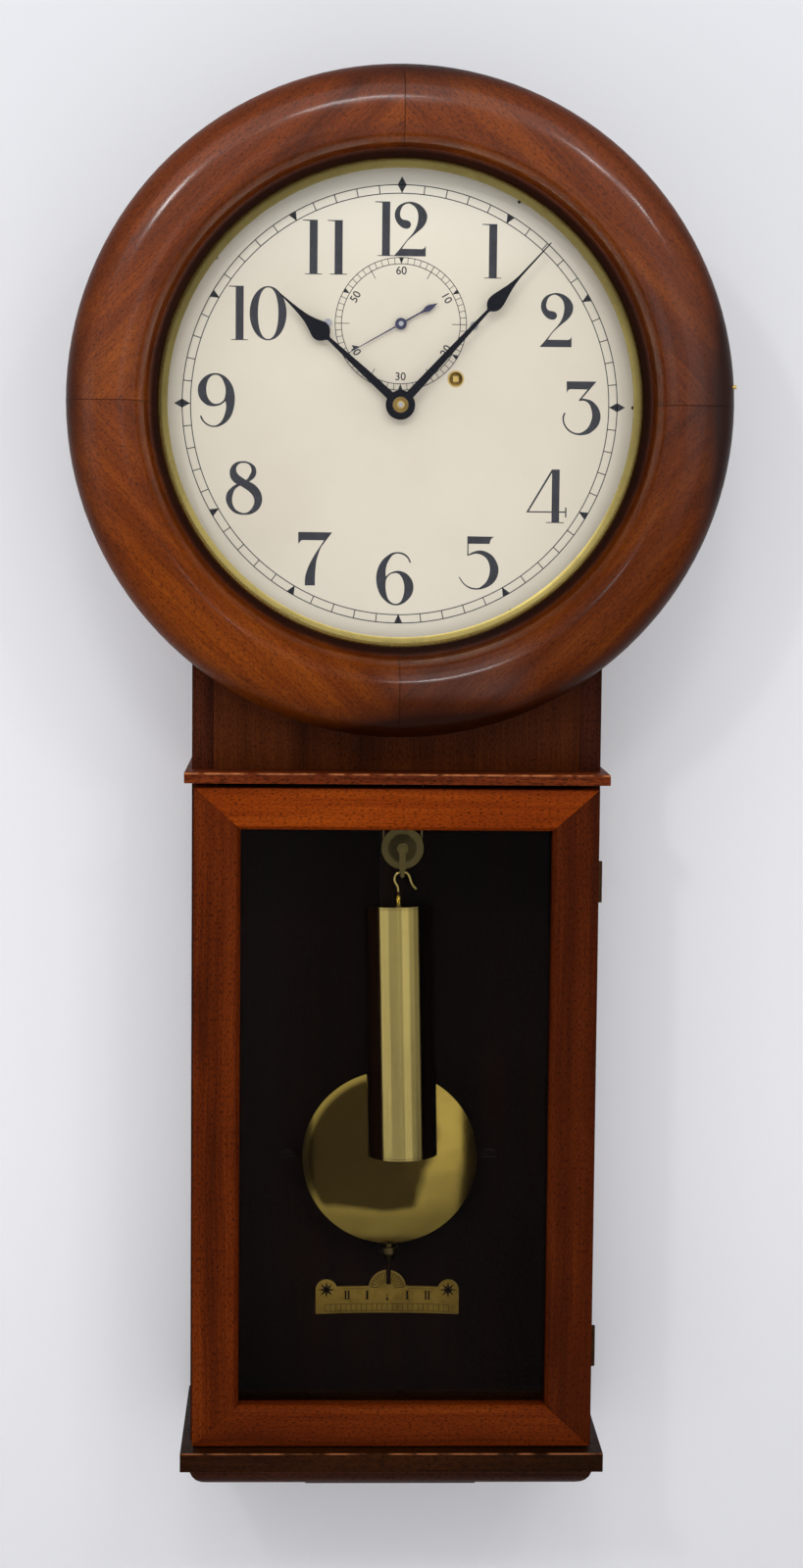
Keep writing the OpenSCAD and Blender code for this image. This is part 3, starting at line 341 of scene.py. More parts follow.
def glass(name, tint):
    """Thin clear glass: it shows what is behind it, and reflects more at a slant."""
    m = Paint(name)
    x, y, z = m.place()
    smear = m.noise(m.vector(x * 7, y * 7, z * 7), detail=2)
    fresnel = m.add("Fresnel", None, IOR=1.45)
    return m.surface(Base_Color=tint, Metallic=1.0, Roughness=0.03, Alpha=fresnel * (0.03 + smear * 0.03))


def ink(name, colour, shine=0.5):
    """Printing ink with a slight unevenness."""
    m = Paint(name)
    x, y, z = m.place()
    patch = m.noise(m.vector(x * 160, y * 160, z * 160), detail=3)
    fine = m.noise(m.vector(x * 2600, y * 2600, z * 2600), detail=1)
    faded = tuple(min(1, 2.1 * v + 0.006) for v in colour[:3]) + (1.0,)
    tone = m.mix(patch.between(0.35, 0.75) * 0.5, colour, faded)
    return m.surface(Base_Color=tone, Roughness=0.5 + (fine - 0.5) * 0.2, Normal=m.bump(fine, 0.1, 0.00002),
                     Specular_IOR_Level=shine)


def painted_dial(name):
    """Cream enamel paint on the dial plate with faint stains, painted lighter above and below as painted light
    against the bezel's shade, and darker at the rim as painted shade.
    """
    m = Paint(name)
    x, y, z = m.place()
    height = z - DIAL_Z
    radius = (x * x + height * height) ** 0.5
    cloud = m.noise(m.vector(x * 11, y * 11, z * 11), detail=3)
    stains_and_shade = m.noise(m.vector(x * 70, y * 70, z * 70), detail=4, rough=0.6).between(0.6, 0.8)
    speck = m.noise(m.vector(x * 900, y * 900, z * 900), detail=1).between(0.74, 0.8)
    tone = m.mix(cloud.between(0.3, 0.7), srgb(220, 212, 192), srgb(214, 205, 186))
    tone = m.mix(stains_and_shade * 0.10, tone, srgb(190, 170, 130))
    tone = m.mix(speck * 0.22, tone, srgb(150, 130, 95))
    # Painted light above and below, against the bezel's shade
    lighter = height.between(0.06, 0.14) * 0.8 + (1 - height.between(-0.15, -0.08)) * 0.4
    tone = m.mix(lighter, tone, srgb(240, 234, 216))
    # Painted shade at the rim, under the bezel
    tone = m.mix(radius.between(0.1425, 0.1545) * 0.25, tone, srgb(178, 160, 122))
    fine = m.noise(m.vector(x * 1500, y * 1500, z * 1500), detail=2)
    return m.surface(Base_Color=tone, Roughness=0.42 + (fine - 0.5) * 0.1, Normal=m.bump(fine, 0.05, 0.00003))


def joints_and_step_shadow(m):
    """The dark joints of the bezel's four segments, and a painted shadow in the step beside the sight ring."""
    x, y, z = m.place()
    height = z - DIAL_Z
    joint = 1 - abs(x).least(abs(height)).between(0.00015, 0.0006)
    radius = (x * x + height * height) ** 0.5
    # Painted shadow in the step beside the sight ring
    step = 1 - radius.between(0.1570, 0.1630)
    return (joint * 0.6).most(step * 0.94)


def end_grain_and_painted_shade(m):
    """Where the bezel is darker: the end grain at its joints, and painted shade at its outer edge, its lower half,
    its right side and round six.
    """
    across, through, along = grain_axes(m, "ring")
    x, y, z = m.place()
    height = z - DIAL_Z
    radius = (x * x + height ** 2.0) ** 0.5
    near = abs(along).between(0.075, 0.15)
    late = x.between(-0.05, 0.05)
    top = height.between(0.02, 0.16)
    six = (1 - height.between(-0.19, -0.12)) * (1 - abs(x).between(0.0, 0.15))
    # Dark end grain near the joints; the rest is painted shade at the rim, below, at the right and round six
    return (near * radius.between(0.176, 0.205) * (late * 0.3 + 0.3) + radius.between(0.196, 0.2124) * 0.45
            + (1 - top) * (0.12 + late * 0.24) + late * 0.10 + six * 0.24)


def dusty_rim(m):
    """Where the polish of the bezel has gone dull: its outer edge and its lower half."""
    x, y, z = m.place()
    height = z - DIAL_Z
    edge = ((x * x + height ** 2.0) ** 0.5).between(0.194, 0.208) * 0.95
    gleam = (1 - abs(x - 0.035).between(0.02, 0.06)) * height.between(-0.190, -0.180)
    return edge.most((1 - height.between(-0.12, 0.05)) * (0.85 - gleam * 0.85))


def right_stile_shade(m):
    """The right stile of the door is darker, as painted shade."""
    return m.place()[0].between(-0.02, 0.02) * 0.40


def lower_rail_shade(m):
    """The lower rail of the door is darker, as painted shade from the light above."""
    return (1 - m.place()[2].between(-0.60, -0.55)) * 0.52


def shelf_edge_wear_and_highlight(m):
    """The worn front edge of the shelf moulding, painted lighter also as a highlight."""
    x, y, z = m.place()
    return z.between(-0.3572, -0.3560) * (1 - y.between(-0.146, -0.1445)) * 0.9


def base_edge_wear_and_highlight(m):
    """The worn front edge of the base board, painted lighter also as a highlight."""
    x, y, z = m.place()
    return z.between(-0.8029, -0.8020) * (1 - y.between(-0.150, -0.1485)) * 0.55


bezel_wood = wood("bezel_mahogany", srgb(67, 24, 2), srgb(115, 49, 6), srgb(155, 77, 13), "ring", gloss=0.34,
                  coat=0.85, contrast=0.75, coat_gloss=0.15, shade=joints_and_step_shadow, ends_and_shade=end_grain_and_painted_shade, dull=dusty_rim)
rail_wood = wood("door_rail_mahogany", srgb(72, 22, 1), srgb(120, 45, 4), srgb(152, 66, 9), "x", seed=3.0,
                 ends_and_shade=lower_rail_shade)
stile_wood = wood("door_stile_mahogany", srgb(48, 14, 1), srgb(82, 28, 2), srgb(108, 43, 6), "z", seed=5.0,
                  ends_and_shade=right_stile_shade)
trunk_wood = wood("trunk_mahogany", srgb(32, 11, 4), srgb(60, 24, 10), srgb(84, 37, 17), "z", seed=7.0)
waist_wood = wood("waist_mahogany", srgb(40, 15, 3), srgb(68, 29, 8), srgb(94, 44, 16), "z", seed=9.0, contrast=0.8)
shelf_wood = wood("shelf_mahogany", srgb(56, 19, 5), srgb(96, 38, 12), srgb(126, 56, 21), "x", seed=11.0, gloss=0.42,
                  coat=0.03, wear_and_highlight=shelf_edge_wear_and_highlight)
base_wood = wood("base_mahogany", srgb(18, 7, 0), srgb(36, 14, 1), srgb(54, 23, 4), "x", seed=13.0, gloss=0.42,
                 coat=0.03, wear_and_highlight=base_edge_wear_and_highlight)
apron_wood = wood("apron_mahogany", srgb(34, 14, 6), srgb(58, 27, 13), srgb(82, 42, 22), "x", seed=15.0)
back_wood = wood("backboard_stain", srgb(8, 3, 2), srgb(17, 7, 4), srgb(28, 11, 7), "z", seed=17.0, gloss=0.6,
                 coat=0.0, shine=0.04)
rod_wood = wood("pendulum_rod_wood", srgb(12, 7, 4), srgb(22, 12, 7), srgb(34, 19, 11), "z", seed=19.0, gloss=0.5,
                coat=0.0)
dial_paint = painted_dial("dial_paint")
dial_ink = ink("dial_ink", srgb(26, 29, 38))
sight_brass = brass("sight_ring_brass", srgb(208, 188, 112), srgb(120, 104, 62), gloss=0.2, grain="ring",
                    tarnish=0.3, stains_and_shade=sight_ring_painted_shade)
weight_brass = brass("weight_brass", srgb(158, 142, 83), srgb(100, 80, 42), gloss=0.11, grain="z", tarnish=0.12,
                     stains_and_shade=weight_painted_reflection)
bob_brass = brass("bob_brass", srgb(150, 129, 60), srgb(104, 80, 36), gloss=0.14, grain="x", tarnish=0.2, scale=0.6,
                  stains_and_shade=bob_painted_reflection, flat=0.4)
works_brass = brass("works_brass", srgb(200, 172, 104), srgb(124, 98, 56), gloss=0.32, tarnish=0.45)
old_brass = brass("old_brass", srgb(84, 74, 42), srgb(48, 40, 22), gloss=0.34, tarnish=0.4)
nut_brass = brass("rating_nut_brass", srgb(72, 60, 34), srgb(40, 32, 18), gloss=0.3, tarnish=0.3, stains_and_shade=nut_cone_painted_shade)
# The pulley's brass is darker, as painted shade under the shelf, and its web gets more painted shade
shaded_pulley_brass = brass("shaded_pulley_brass", srgb(92, 82, 48), srgb(52, 44, 26), gloss=0.3, tarnish=0.3, stains_and_shade=pulley_web_painted_shade)
hinge_bronze = brass("hinge_bronze", srgb(62, 42, 25), srgb(34, 22, 15), gloss=0.45, tarnish=0.8)
plate_brass = brass("beat_plate_brass", srgb(140, 114, 50), srgb(84, 66, 28), gloss=0.42, tarnish=0.6)
cable_brass = brass("cable_brass", srgb(150, 126, 76), srgb(80, 62, 34), gloss=0.4, tarnish=0.7)
steel = metal("bright_steel", srgb(176, 178, 182), 0.3)
iron = metal("black_iron", srgb(46, 45, 45), 0.5, metallic=0.9)
dark_iron = metal("rusted_iron", srgb(30, 22, 17), 0.6)
pale_blued = metal("pale_blued_steel", srgb(74, 74, 98), 0.28, scuff=0.5, metallic=0.9)
blued = metal("blued_steel", srgb(26, 27, 34), 0.32, scuff=0.4, metallic=0.85)
door_glass = glass("door_glass", srgb(246, 250, 248))
dial_glass = glass("dial_glass", srgb(250, 252, 250))

FINISH = {
    "backboard": back_wood, "carcass": trunk_wood, "waist_panel": waist_wood, "shelf_moulding": shelf_wood,
    "base_board": base_wood, "apron": apron_wood, "steel_strip": iron, "head_ring": trunk_wood,
    "hanger_plate": steel, "backboard_screws": dark_iron, "beat_plate": plate_brass, "movement_bracket": iron,
    "back_plate": works_brass, "front_plate": works_brass, "pillars": works_brass, "pillar_nuts": steel,
    "suspension_cock": works_brass, "dial": dial_paint, "dial_posts": works_brass, "dial_screws": steel,
    "dial_pins": iron, "winding_collar": works_brass, "cable_stud": steel, "great_wheel": works_brass,
    "click": steel, "click_spring": steel, "drum": works_brass, "drum_cable": cable_brass,
    "centre_arbor": steel, "centre_wheel": works_brass, "third_wheel": works_brass, "escape_arbor": steel,
    "escape_wheel": works_brass, "minute_wheel": works_brass, "hour_wheel": works_brass, "minute_hand": blued,
    "hour_hand": blued, "hand_nut": works_brass, "seconds_hand": pale_blued, "pallet_anchor": steel,
    "crutch": works_brass, "pendulum_rod": rod_wood, "pendulum_bob": bob_brass, "rating_nut": nut_brass,
    "weight": weight_brass, "weight_hook": weight_brass, "pulley_strap": old_brass, "pulley": shaded_pulley_brass,
    "pulley_cable": cable_brass, "drum_side_cable": cable_brass, "stud_side_cable": cable_brass,
    "door_stiles": stile_wood, "door_rails": rail_wood, "door_glass": door_glass, "hinges": hinge_bronze,
    "door_hinge_leaves": hinge_bronze, "bezel": bezel_wood, "sight_ring": sight_brass, "dial_glass": dial_glass,
    "bezel_hinge_leaves": works_brass,
}
BODY = {node: body for body, members in frame["record"]["behaviour"]["bodies"].items() for node in members}


def finished(name, body, material, mesh):
    """A new piece from a mesh, shaded smooth but for its sharp edges, on its body, if it has one, and in its slot."""
    piece = bpy.data.objects.new(name, mesh)
    bpy.context.scene.collection.objects.link(piece)
    mesh.materials.clear()
    mesh.materials.append(material)
    mesh.shade_smooth()
    mesh.set_sharp_from_angle(angle=SHARP_ANGLE)
    if body:
        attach(piece, body)
    return piece


def eased(node, width, rides=True):
    """A piece in place of its CAD node, with its sharp edges eased by a width, or only shaded anew with no width."""
    bm = bmesh.new()
    bm.from_mesh(frame["nodes"][node].data)
    bmesh.ops.remove_doubles(bm, verts=bm.verts, dist=1e-6)
    bmesh.ops.dissolve_limit(bm, angle_limit=math.radians(0.6), verts=bm.verts, edges=bm.edges)
    if width:
        edges = [e for e in bm.edges if len(e.link_faces) == 2 and e.calc_face_angle(0) > SHARP_ANGLE]
        bmesh.ops.bevel(bm, geom=edges, offset=width, segments=2, profile=0.5, affect="EDGES", clamp_overlap=True)
    mesh = bpy.data.meshes.new(node + "_eased")
    bm.to_mesh(mesh)
    bm.free()
    mesh.attributes.remove(mesh.attributes["custom_normal"])
    piece = finished(node + "_eased", BODY[node] if rides else None, FINISH[node], mesh)
    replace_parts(piece, node)
    return piece


for node, material in FINISH.items():
    mesh = frame["nodes"][node].data
    for k in range(len(mesh.materials)):
        mesh.materials[k] = material
    if not len(mesh.materials):
        mesh.materials.append(material)

for node, width in (("carcass", 0.8), ("waist_panel", 0.3), ("shelf_moulding", 0.5), ("base_board", 0.5),
                    ("apron", 0.8), ("door_stiles", 0.5), ("door_rails", 0.5)):
    eased(node, width * MM)

for node in ("bezel", "sight_ring", "pendulum_bob", "weight", "pulley", "hand_nut"):
    eased(node, 0)

# The two runs of cable, shaded anew and left in place on no body; the listed top and foot points are not used

for node, high, low in (("drum_side_cable", (18.2, -102.8), (24.0, -410.0)),
                        ("stud_side_cable", (-7.2, -167.6), (-7.2, -410.3))):
    cable = eased(node, 0, rides=False)
    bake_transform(cable)

# The hook, as round wire

hook = bpy.data.curves.new("hook_wire", "CURVE")
hook.dimensions, hook.bevel_depth, hook.bevel_resolution, hook.use_fill_caps = "3D", 1.1 * MM, 6, True
spline = hook.splines.new("BEZIER")
path = [(-2.8, -24), (-2.8, -13), (-3.2, -9.5), (-4.8, -6.6), (-5.2, -4), (-4.3, -1.6), (-2.4, -0.25), (0, 0),
        (2.4, -0.25), (4.3, -1.9), (5.4, -5), (6.8, -8.6), (9.2, -11.6)]
spline.bezier_points.add(len(path) - 1)
for point, (x, z) in zip(spline.bezier_points, path):
    point.co = (x * MM, 0, z * MM)
    point.handle_left_type = point.handle_right_type = "AUTO"
holder = bpy.data.objects.new("hook_wire", hook)
wire = bpy.data.meshes.new_from_object(holder)
bpy.data.objects.remove(holder)
wire.transform(Matrix.Translation((PULLEY_X, -WEIGHT_DEPTH, HOOK_TOP_Z))
               @ Matrix.Rotation(math.radians(-HOOK_LEAN), 4, "Y"))
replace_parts(finished("weight_hook_wire", "weight_body", FINISH["weight_hook"], wire), "weight_hook")

# Dial printing


def loop_points(runs, steps=6):
    """A closed outline of runs of points. Each run is drawn as a smooth curve, and the runs meet in corners."""
    points = []
    for k, run in enumerate(runs):
        path = [Vector(p) for p in run] + [Vector(runs[(k + 1) % len(runs)][0])]
        if len(run) == 1:
            points.append(path[0])
            continue
        for i in range(len(path) - 1):
            a, b = path[max(i - 1, 0)], path[i]
            c, d = path[i + 1], path[min(i + 2, len(path) - 1)]
            for s in range(steps):
                t = s / steps
                points.append(0.5 * (2 * b + (c - a) * t + (2 * a - 5 * b + 4 * c - d) * t * t
                                     + (3 * b - a - 3 * c + d) * t ** 3))
    return [(p[0], p[1]) for p in points]


def smooth_loop(points, steps=6):
    """A closed outline without corners."""
    n = len(points)
    out = []
    for i in range(n):
        a, b, c, d = (Vector(points[(i + k) % n]) for k in (-1, 0, 1, 2))
        for s in range(steps):
            t = s / steps
            p = 0.5 * (2 * b + (c - a) * t + (2 * a - 5 * b + 4 * c - d) * t * t + (3 * b - a - 3 * c + d) * t ** 3)
            out.append((p[0], p[1]))
    return out


def printed(name, groups, depth, thick, body, material):
    """Flat shapes facing the viewer. A group is a list of outlines in mm, where one inside another is a hole."""
    joined = bmesh.new()
    for group in groups:
        curve = bpy.data.curves.new(name + "_outline", "CURVE")
        curve.dimensions, curve.fill_mode, curve.extrude = "2D", "BOTH", thick / 2
        for outline in group:
            spline = curve.splines.new("POLY")
            spline.points.add(len(outline) - 1)
            for point, (x, y) in zip(spline.points, outline):
                point.co = (x * MM, y * MM, 0, 1)
            spline.use_cyclic_u = True
        holder = bpy.data.objects.new(name + "_outline", curve)
        flat = bpy.data.meshes.new_from_object(holder)
        joined.from_mesh(flat)
        bpy.data.objects.remove(holder)
        bpy.data.curves.remove(curve)
        bpy.data.meshes.remove(flat)
    bmesh.ops.remove_doubles(joined, verts=joined.verts, dist=1e-8)
    mesh = bpy.data.meshes.new(name)
    joined.to_mesh(mesh)
    joined.free()
    mesh.transform(Matrix.Translation((0, -depth - thick / 2, 0)) @ Matrix.Rotation(math.pi / 2, 4, "X"))
    return finished(name, body, material, mesh)


def turned_point(radius, degrees, centre=(0, 0)):
    """A point on the dial at an angle clockwise from twelve."""
    a = math.radians(degrees)
    return (centre[0] + radius * math.sin(a), centre[1] + radius * math.cos(a))


def circle(radius, centre=(0, 0), count=180):
    return [turned_point(radius, 360 * k / count, centre) for k in range(count)]


def radial_bar(inner, outer, degrees, width, centre=(0, 0), inner_width=None):
    """A bar along a radius. With an inner width it is a wedge."""
    a = math.radians(degrees)
    side = (math.cos(a), -math.sin(a))
    w0, w1 = (width if inner_width is None else inner_width) / 2, width / 2
    p, q = turned_point(inner, degrees, centre), turned_point(outer, degrees, centre)
    return [(p[0] - side[0] * w0, p[1] - side[1] * w0), (q[0] - side[0] * w1, q[1] - side[1] * w1),
            (q[0] + side[0] * w1, q[1] + side[1] * w1), (p[0] + side[0] * w0, p[1] + side[1] * w0)]


# Outlines of the numerals, in hundredths of a drawing unit with y downwards
TWO = [loop_points([
    [(410, 780), (300, 755), (200, 675), (140, 580), (115, 480), (130, 360), (200, 250), (300, 185), (430, 150),
     (560, 155), (700, 210), (820, 320), (880, 450), (870, 580), (820, 690), (740, 780), (620, 880), (500, 985),
     (400, 1085), (290, 1245)],
    [(291, 1246), (770, 1250)], [(771, 1250), (820, 1225), (850, 1175)], [(855, 1175)], [(855, 1420)], [(95, 1420)],
    [(96, 1419), (250, 1240), (400, 1050), (530, 900), (600, 790), (650, 660), (670, 520), (665, 430), (640, 340),
     (580, 260), (500, 205), (430, 190), (350, 215), (290, 270), (255, 350), (240, 440), (260, 520), (320, 565),
     (400, 578), (470, 610), (500, 680), (470, 750)]])]
THREE = [loop_points([
    [(180, 160)], [(880, 160)],
    [(545, 555), (640, 565), (760, 600), (870, 690), (945, 800), (985, 950), (970, 1080), (920, 1190), (830, 1290),
     (700, 1375), (530, 1405), (400, 1390), (270, 1335), (180, 1250), (115, 1140), (92, 1020), (105, 950)],
    [(140, 880)],
    [(165, 895), (135, 980), (130, 1040), (150, 1130), (210, 1230), (300, 1310), (400, 1350), (500, 1355),
     (600, 1310), (690, 1230), (745, 1130), (785, 1000), (785, 900), (765, 800), (725, 700), (660, 635), (580, 605),
     (500, 612)],
    [(465, 600)], [(670, 345)], [(290, 340), (240, 350), (205, 390)], [(185, 440)]])]
FOUR = [loop_points([[p] for p in (
    (660, 185), (840, 185), (840, 1135), (975, 1135), (975, 1045), (1005, 1045), (1005, 1270), (975, 1270),
    (975, 1165), (840, 1165), (840, 1378), (950, 1382), (950, 1400), (540, 1400), (540, 1382), (665, 1378),
    (665, 1165), (90, 1165), (90, 1155))]), [(665, 260), (665, 1135), (150, 1135), (150, 1130)]]
FIVE = [loop_points([
    [(232, 165)], [(860, 172), (800, 215), (765, 280)], [(755, 340)], [(260, 340)],
    [(260, 590), (350, 540), (450, 505), (560, 495), (680, 525), (800, 595), (890, 700), (950, 830), (970, 950),
     (950, 1080), (900, 1190), (820, 1280), (700, 1355), (560, 1400), (430, 1410), (300, 1385), (180, 1310),
     (90, 1210)],
    [(35, 1110)],
    [(60, 1115), (120, 1205), (200, 1290), (310, 1350), (430, 1375), (520, 1365), (600, 1310), (680, 1230),
     (740, 1110), (765, 980), (760, 860), (720, 740), (650, 650), (560, 595), (460, 570), (380, 580), (300, 605)],
    [(232, 625)]])]
SIX = [loop_points([
    [(1015, 345), (985, 270), (940, 195), (870, 135), (780, 98), (660, 88), (540, 110), (440, 170), (330, 260),
     (250, 370), (190, 500), (158, 640), (150, 760), (165, 900), (200, 1030), (255, 1150), (330, 1250), (430, 1340),
     (540, 1395), (640, 1412), (740, 1400), (850, 1350), (950, 1265), (1030, 1160), (1070, 1050), (1080, 940),
     (1060, 830), (1010, 730), (930, 640), (830, 580), (700, 552), (600, 565), (500, 605), (430, 660)],
    [(388, 695), (385, 600), (390, 520), (415, 400), (455, 310), (510, 220), (560, 165), (630, 132), (700, 126),
     (780, 142), (860, 182), (930, 250), (965, 320)],
    [(980, 355)]]),
    smooth_loop([(620, 608), (700, 625), (770, 690), (820, 790), (850, 920), (848, 1080), (820, 1200), (770, 1310),
                 (700, 1360), (620, 1372), (540, 1342), (480, 1290), (430, 1200), (400, 1080), (386, 950),
                 (390, 830), (410, 750), (450, 690), (520, 632)])]
SEVEN = [loop_points([
    [(135, 120)],
    [(930, 125), (830, 260), (740, 380), (660, 500), (605, 650), (567, 790), (547, 950), (537, 1100), (532, 1250)],
    [(532, 1372)], [(295, 1372), (300, 1200), (330, 1060), (390, 900), (460, 760), (540, 620), (620, 500)],
    [(738, 312)], [(240, 310), (190, 330)], [(155, 385)], [(135, 385)]])]
EIGHT = [loop_points([
    [(700, 592), (800, 640), (900, 720), (980, 830), (1025, 950), (1035, 1080), (1000, 1200), (930, 1310),
     (830, 1385), (720, 1428), (570, 1442), (430, 1428), (310, 1380), (210, 1290), (140, 1180), (105, 1060),
     (110, 950), (150, 850), (220, 770), (300, 700)],
    [(378, 655), (300, 600), (230, 510), (200, 400), (205, 300), (250, 200), (330, 120), (430, 80), (550, 68),
     (660, 85), (770, 135), (850, 210), (880, 310), (875, 400), (830, 490), (760, 550)]]),
    loop_points([[(620, 550), (540, 500), (440, 430), (380, 350), (365, 260), (400, 180), (470, 125), (550, 113),
                  (640, 125), (710, 175), (750, 250), (755, 330), (720, 410), (670, 500)]]),
    loop_points([[(465, 695), (560, 750), (680, 830), (770, 920), (820, 1010), (832, 1110), (800, 1220), (740, 1310),
                  (660, 1375), (560, 1395), (460, 1370), (360, 1310), (300, 1220), (270, 1120), (265, 1020),
                  (285, 920), (320, 820), (380, 750)]])]
NINE = [loop_points([
    [(145, 1120), (165, 1190), (220, 1270), (300, 1340), (400, 1388), (500, 1402), (600, 1390), (700, 1347),
     (800, 1280), (890, 1180), (950, 1070), (990, 940), (1015, 800), (1020, 650), (1000, 500), (960, 370), (890, 250),
     (790, 145), (690, 85), (570, 52), (430, 62), (300, 115), (190, 210), (115, 330), (88, 450), (100, 580),
     (150, 700), (230, 790), (330, 855), (460, 882), (570, 870), (680, 830)],
    [(785, 752), (800, 850), (795, 950), (770, 1060), (730, 1170), (670, 1270), (580, 1342), (500, 1364),
     (400, 1350), (310, 1300), (230, 1220)],
    [(178, 1112)]]),
    smooth_loop([(540, 95), (620, 115), (690, 180), (740, 280), (780, 400), (787, 520), (770, 640), (740, 720),
                 (660, 790), (560, 820), (480, 808), (400, 750), (340, 660), (310, 560), (300, 440), (315, 320),
                 (350, 220), (410, 140), (470, 105)])]
NUMERAL_HEIGHT = 34.4
ONE = [[(-2.55, -16.6), (-5.5, -16.75), (-5.5, -17.2), (5.5, -17.2), (5.5, -16.75), (2.55, -16.6), (2.55, 17.2),
        (-7.1, 17.2), (-7.1, 16.7), (-2.55, 16.4)]]
NOUGHT = [[(11.8 * math.cos(math.tau * k / 96), 17.2 * math.sin(math.tau * k / 96)) for k in range(96)],
          [(6.5 * math.copysign(abs(math.cos(math.tau * k / 96)) ** 0.9, math.cos(math.tau * k / 96)),
            16.3 * math.copysign(abs(math.sin(math.tau * k / 96)) ** 0.9, math.sin(math.tau * k / 96)))
           for k in range(96)]]


def numeral(outlines, centre, upright=False):
    """An outline's copy with its middle at a place on the dial, as high as the others."""
    xs = [p[0] for p in outlines[0]]
    ys = [p[1] for p in outlines[0]]
    scale = NUMERAL_HEIGHT / (max(ys) - min(ys))
    mid = ((max(xs) + min(xs)) / 2, (max(ys) + min(ys)) / 2)
    flip = 1 if upright else -1
    return [[(centre[0] + (x - mid[0]) * scale, centre[1] + flip * (y - mid[1]) * scale) for x, y in outline]
            for outline in outlines]


def dial_mm(points):
    """From the middle of the dial to the clock's frame, in mm."""
    return [(x, y + DIAL_Z / MM) for x, y in points]


numerals = [
    numeral(ONE, (-10.8, 111.9), True), numeral(TWO, (5.6, 111.9)), numeral(ONE, (57.8, 98.5), True),
    numeral(TWO, (99.9, 55.4)), numeral(THREE, (116.9, -0.7)), numeral(FOUR, (95.1, -57.2)),
    numeral(FIVE, (51.7, -100.6)), numeral(SIX, (-2.4, -111.2)), numeral(SEVEN, (-54, -98.8)),
    numeral(EIGHT, (-99.9, -53.8)), numeral(NINE, (-117.9, 2.1)), numeral(ONE, (-104.0, 57.6), True),
    numeral(NOUGHT, (-85.0, 57.6), True), numeral(ONE, (-57.0, 99.8), True), numeral(ONE, (-41.0, 99.8), True)]
TRACK_OUT, TRACK_IN = 139.8, 134.4
LINE = 0.62
track = [[circle(TRACK_OUT + LINE / 2), circle(TRACK_OUT - LINE / 2)],
         [circle(TRACK_IN + LINE / 2), circle(TRACK_IN - LINE / 2)]]
track += [[radial_bar(TRACK_IN, TRACK_OUT, 6 * k, LINE)] for k in range(60)]
for hour in range(12):
    if hour % 3 or hour == 6:
        track.append([radial_bar(TRACK_IN - 0.4, TRACK_OUT, 30 * hour, 5.3, inner_width=0.1)])
    else:
        track.append([radial_bar(TRACK_OUT - 5.1, TRACK_OUT, 30 * hour, 5.8, inner_width=0.1)])
        track.append([radial_bar(TRACK_OUT + 5.1, TRACK_OUT, 30 * hour, 5.8, inner_width=0.1)])
SECONDS = (0, 51.8)
SMALL_OUT, SMALL_IN = 42.1, 38.1
track += [[circle(SMALL_OUT + 0.24, SECONDS, 120), circle(SMALL_OUT - 0.24, SECONDS, 120)],
          [circle(SMALL_IN + 0.24, SECONDS, 120), circle(SMALL_IN - 0.24, SECONDS, 120)]]
track += [[radial_bar(SMALL_IN, SMALL_OUT, 6 * k, 0.38, SECONDS)] for k in range(60)]
for k in range(12):
    if k % 2:
        track.append([radial_bar(32.9, SMALL_OUT, 30 * k, 0.44, SECONDS)])
    else:
        track.append([radial_bar(SMALL_IN, SMALL_OUT, 30 * k, 3.2, SECONDS, 0.1)])
INK_THICKNESS = 0.00004
for name, groups in (("dial_numerals", numerals), ("dial_tracks", track)):
    printed(name, [[dial_mm(o) for o in g] for g in groups], DIAL_FACE, INK_THICKNESS, "case", dial_ink)


def small_figures(name):
    """The figures of the seconds circle, from Blender's own plain letter forms."""
    joined = bmesh.new()
    for k, figures in enumerate(("60", "10", "20", "30", "40", "50")):
        text = bpy.data.curves.new(name, "FONT")
        text.body, text.size, text.extrude, text.offset = figures, 7.1 * MM, INK_THICKNESS / 2, 0.00008
        text.align_x, text.align_y = "CENTER", "CENTER"
        holder = bpy.data.objects.new(name, text)
        flat = bpy.data.meshes.new_from_object(holder)
        lean = (0, 60, 120, 180, 240, 300)[k]
        tilt = {60: -60, 120: -120 + 180, 240: 120 - 180, 300: 60}.get(lean, 0)
        x, y = turned_point(33.6, lean, SECONDS)
        flat.transform(Matrix.Translation((x * MM, (y + DIAL_Z / MM) * MM, 0))
                       @ Matrix.Rotation(math.radians(tilt), 4, "Z"))
        joined.from_mesh(flat)
        bpy.data.objects.remove(holder)
        bpy.data.curves.remove(text)
        bpy.data.meshes.remove(flat)
    mesh = bpy.data.meshes.new(name)
    joined.to_mesh(mesh)
    joined.free()
    mesh.transform(Matrix.Translation((0, -DIAL_FACE - INK_THICKNESS / 2, 0)) @ Matrix.Rotation(math.pi / 2, 4, "X"))
    return finished(name, "case", dial_ink, mesh)


small_figures("seconds_figures")

# Engraving on the beat plate

BEAT_Z = -609.4
PLATE_FACE = 13.5 * MM


def beat_mm(group):
    return [[(x, y + BEAT_Z + DIAL_Z / MM) for x, y in outline] for outline in group]


def block(x0, x1, y0, y1):
    return [(x0, y0), (x1, y0), (x1, y1), (x0, y1)]


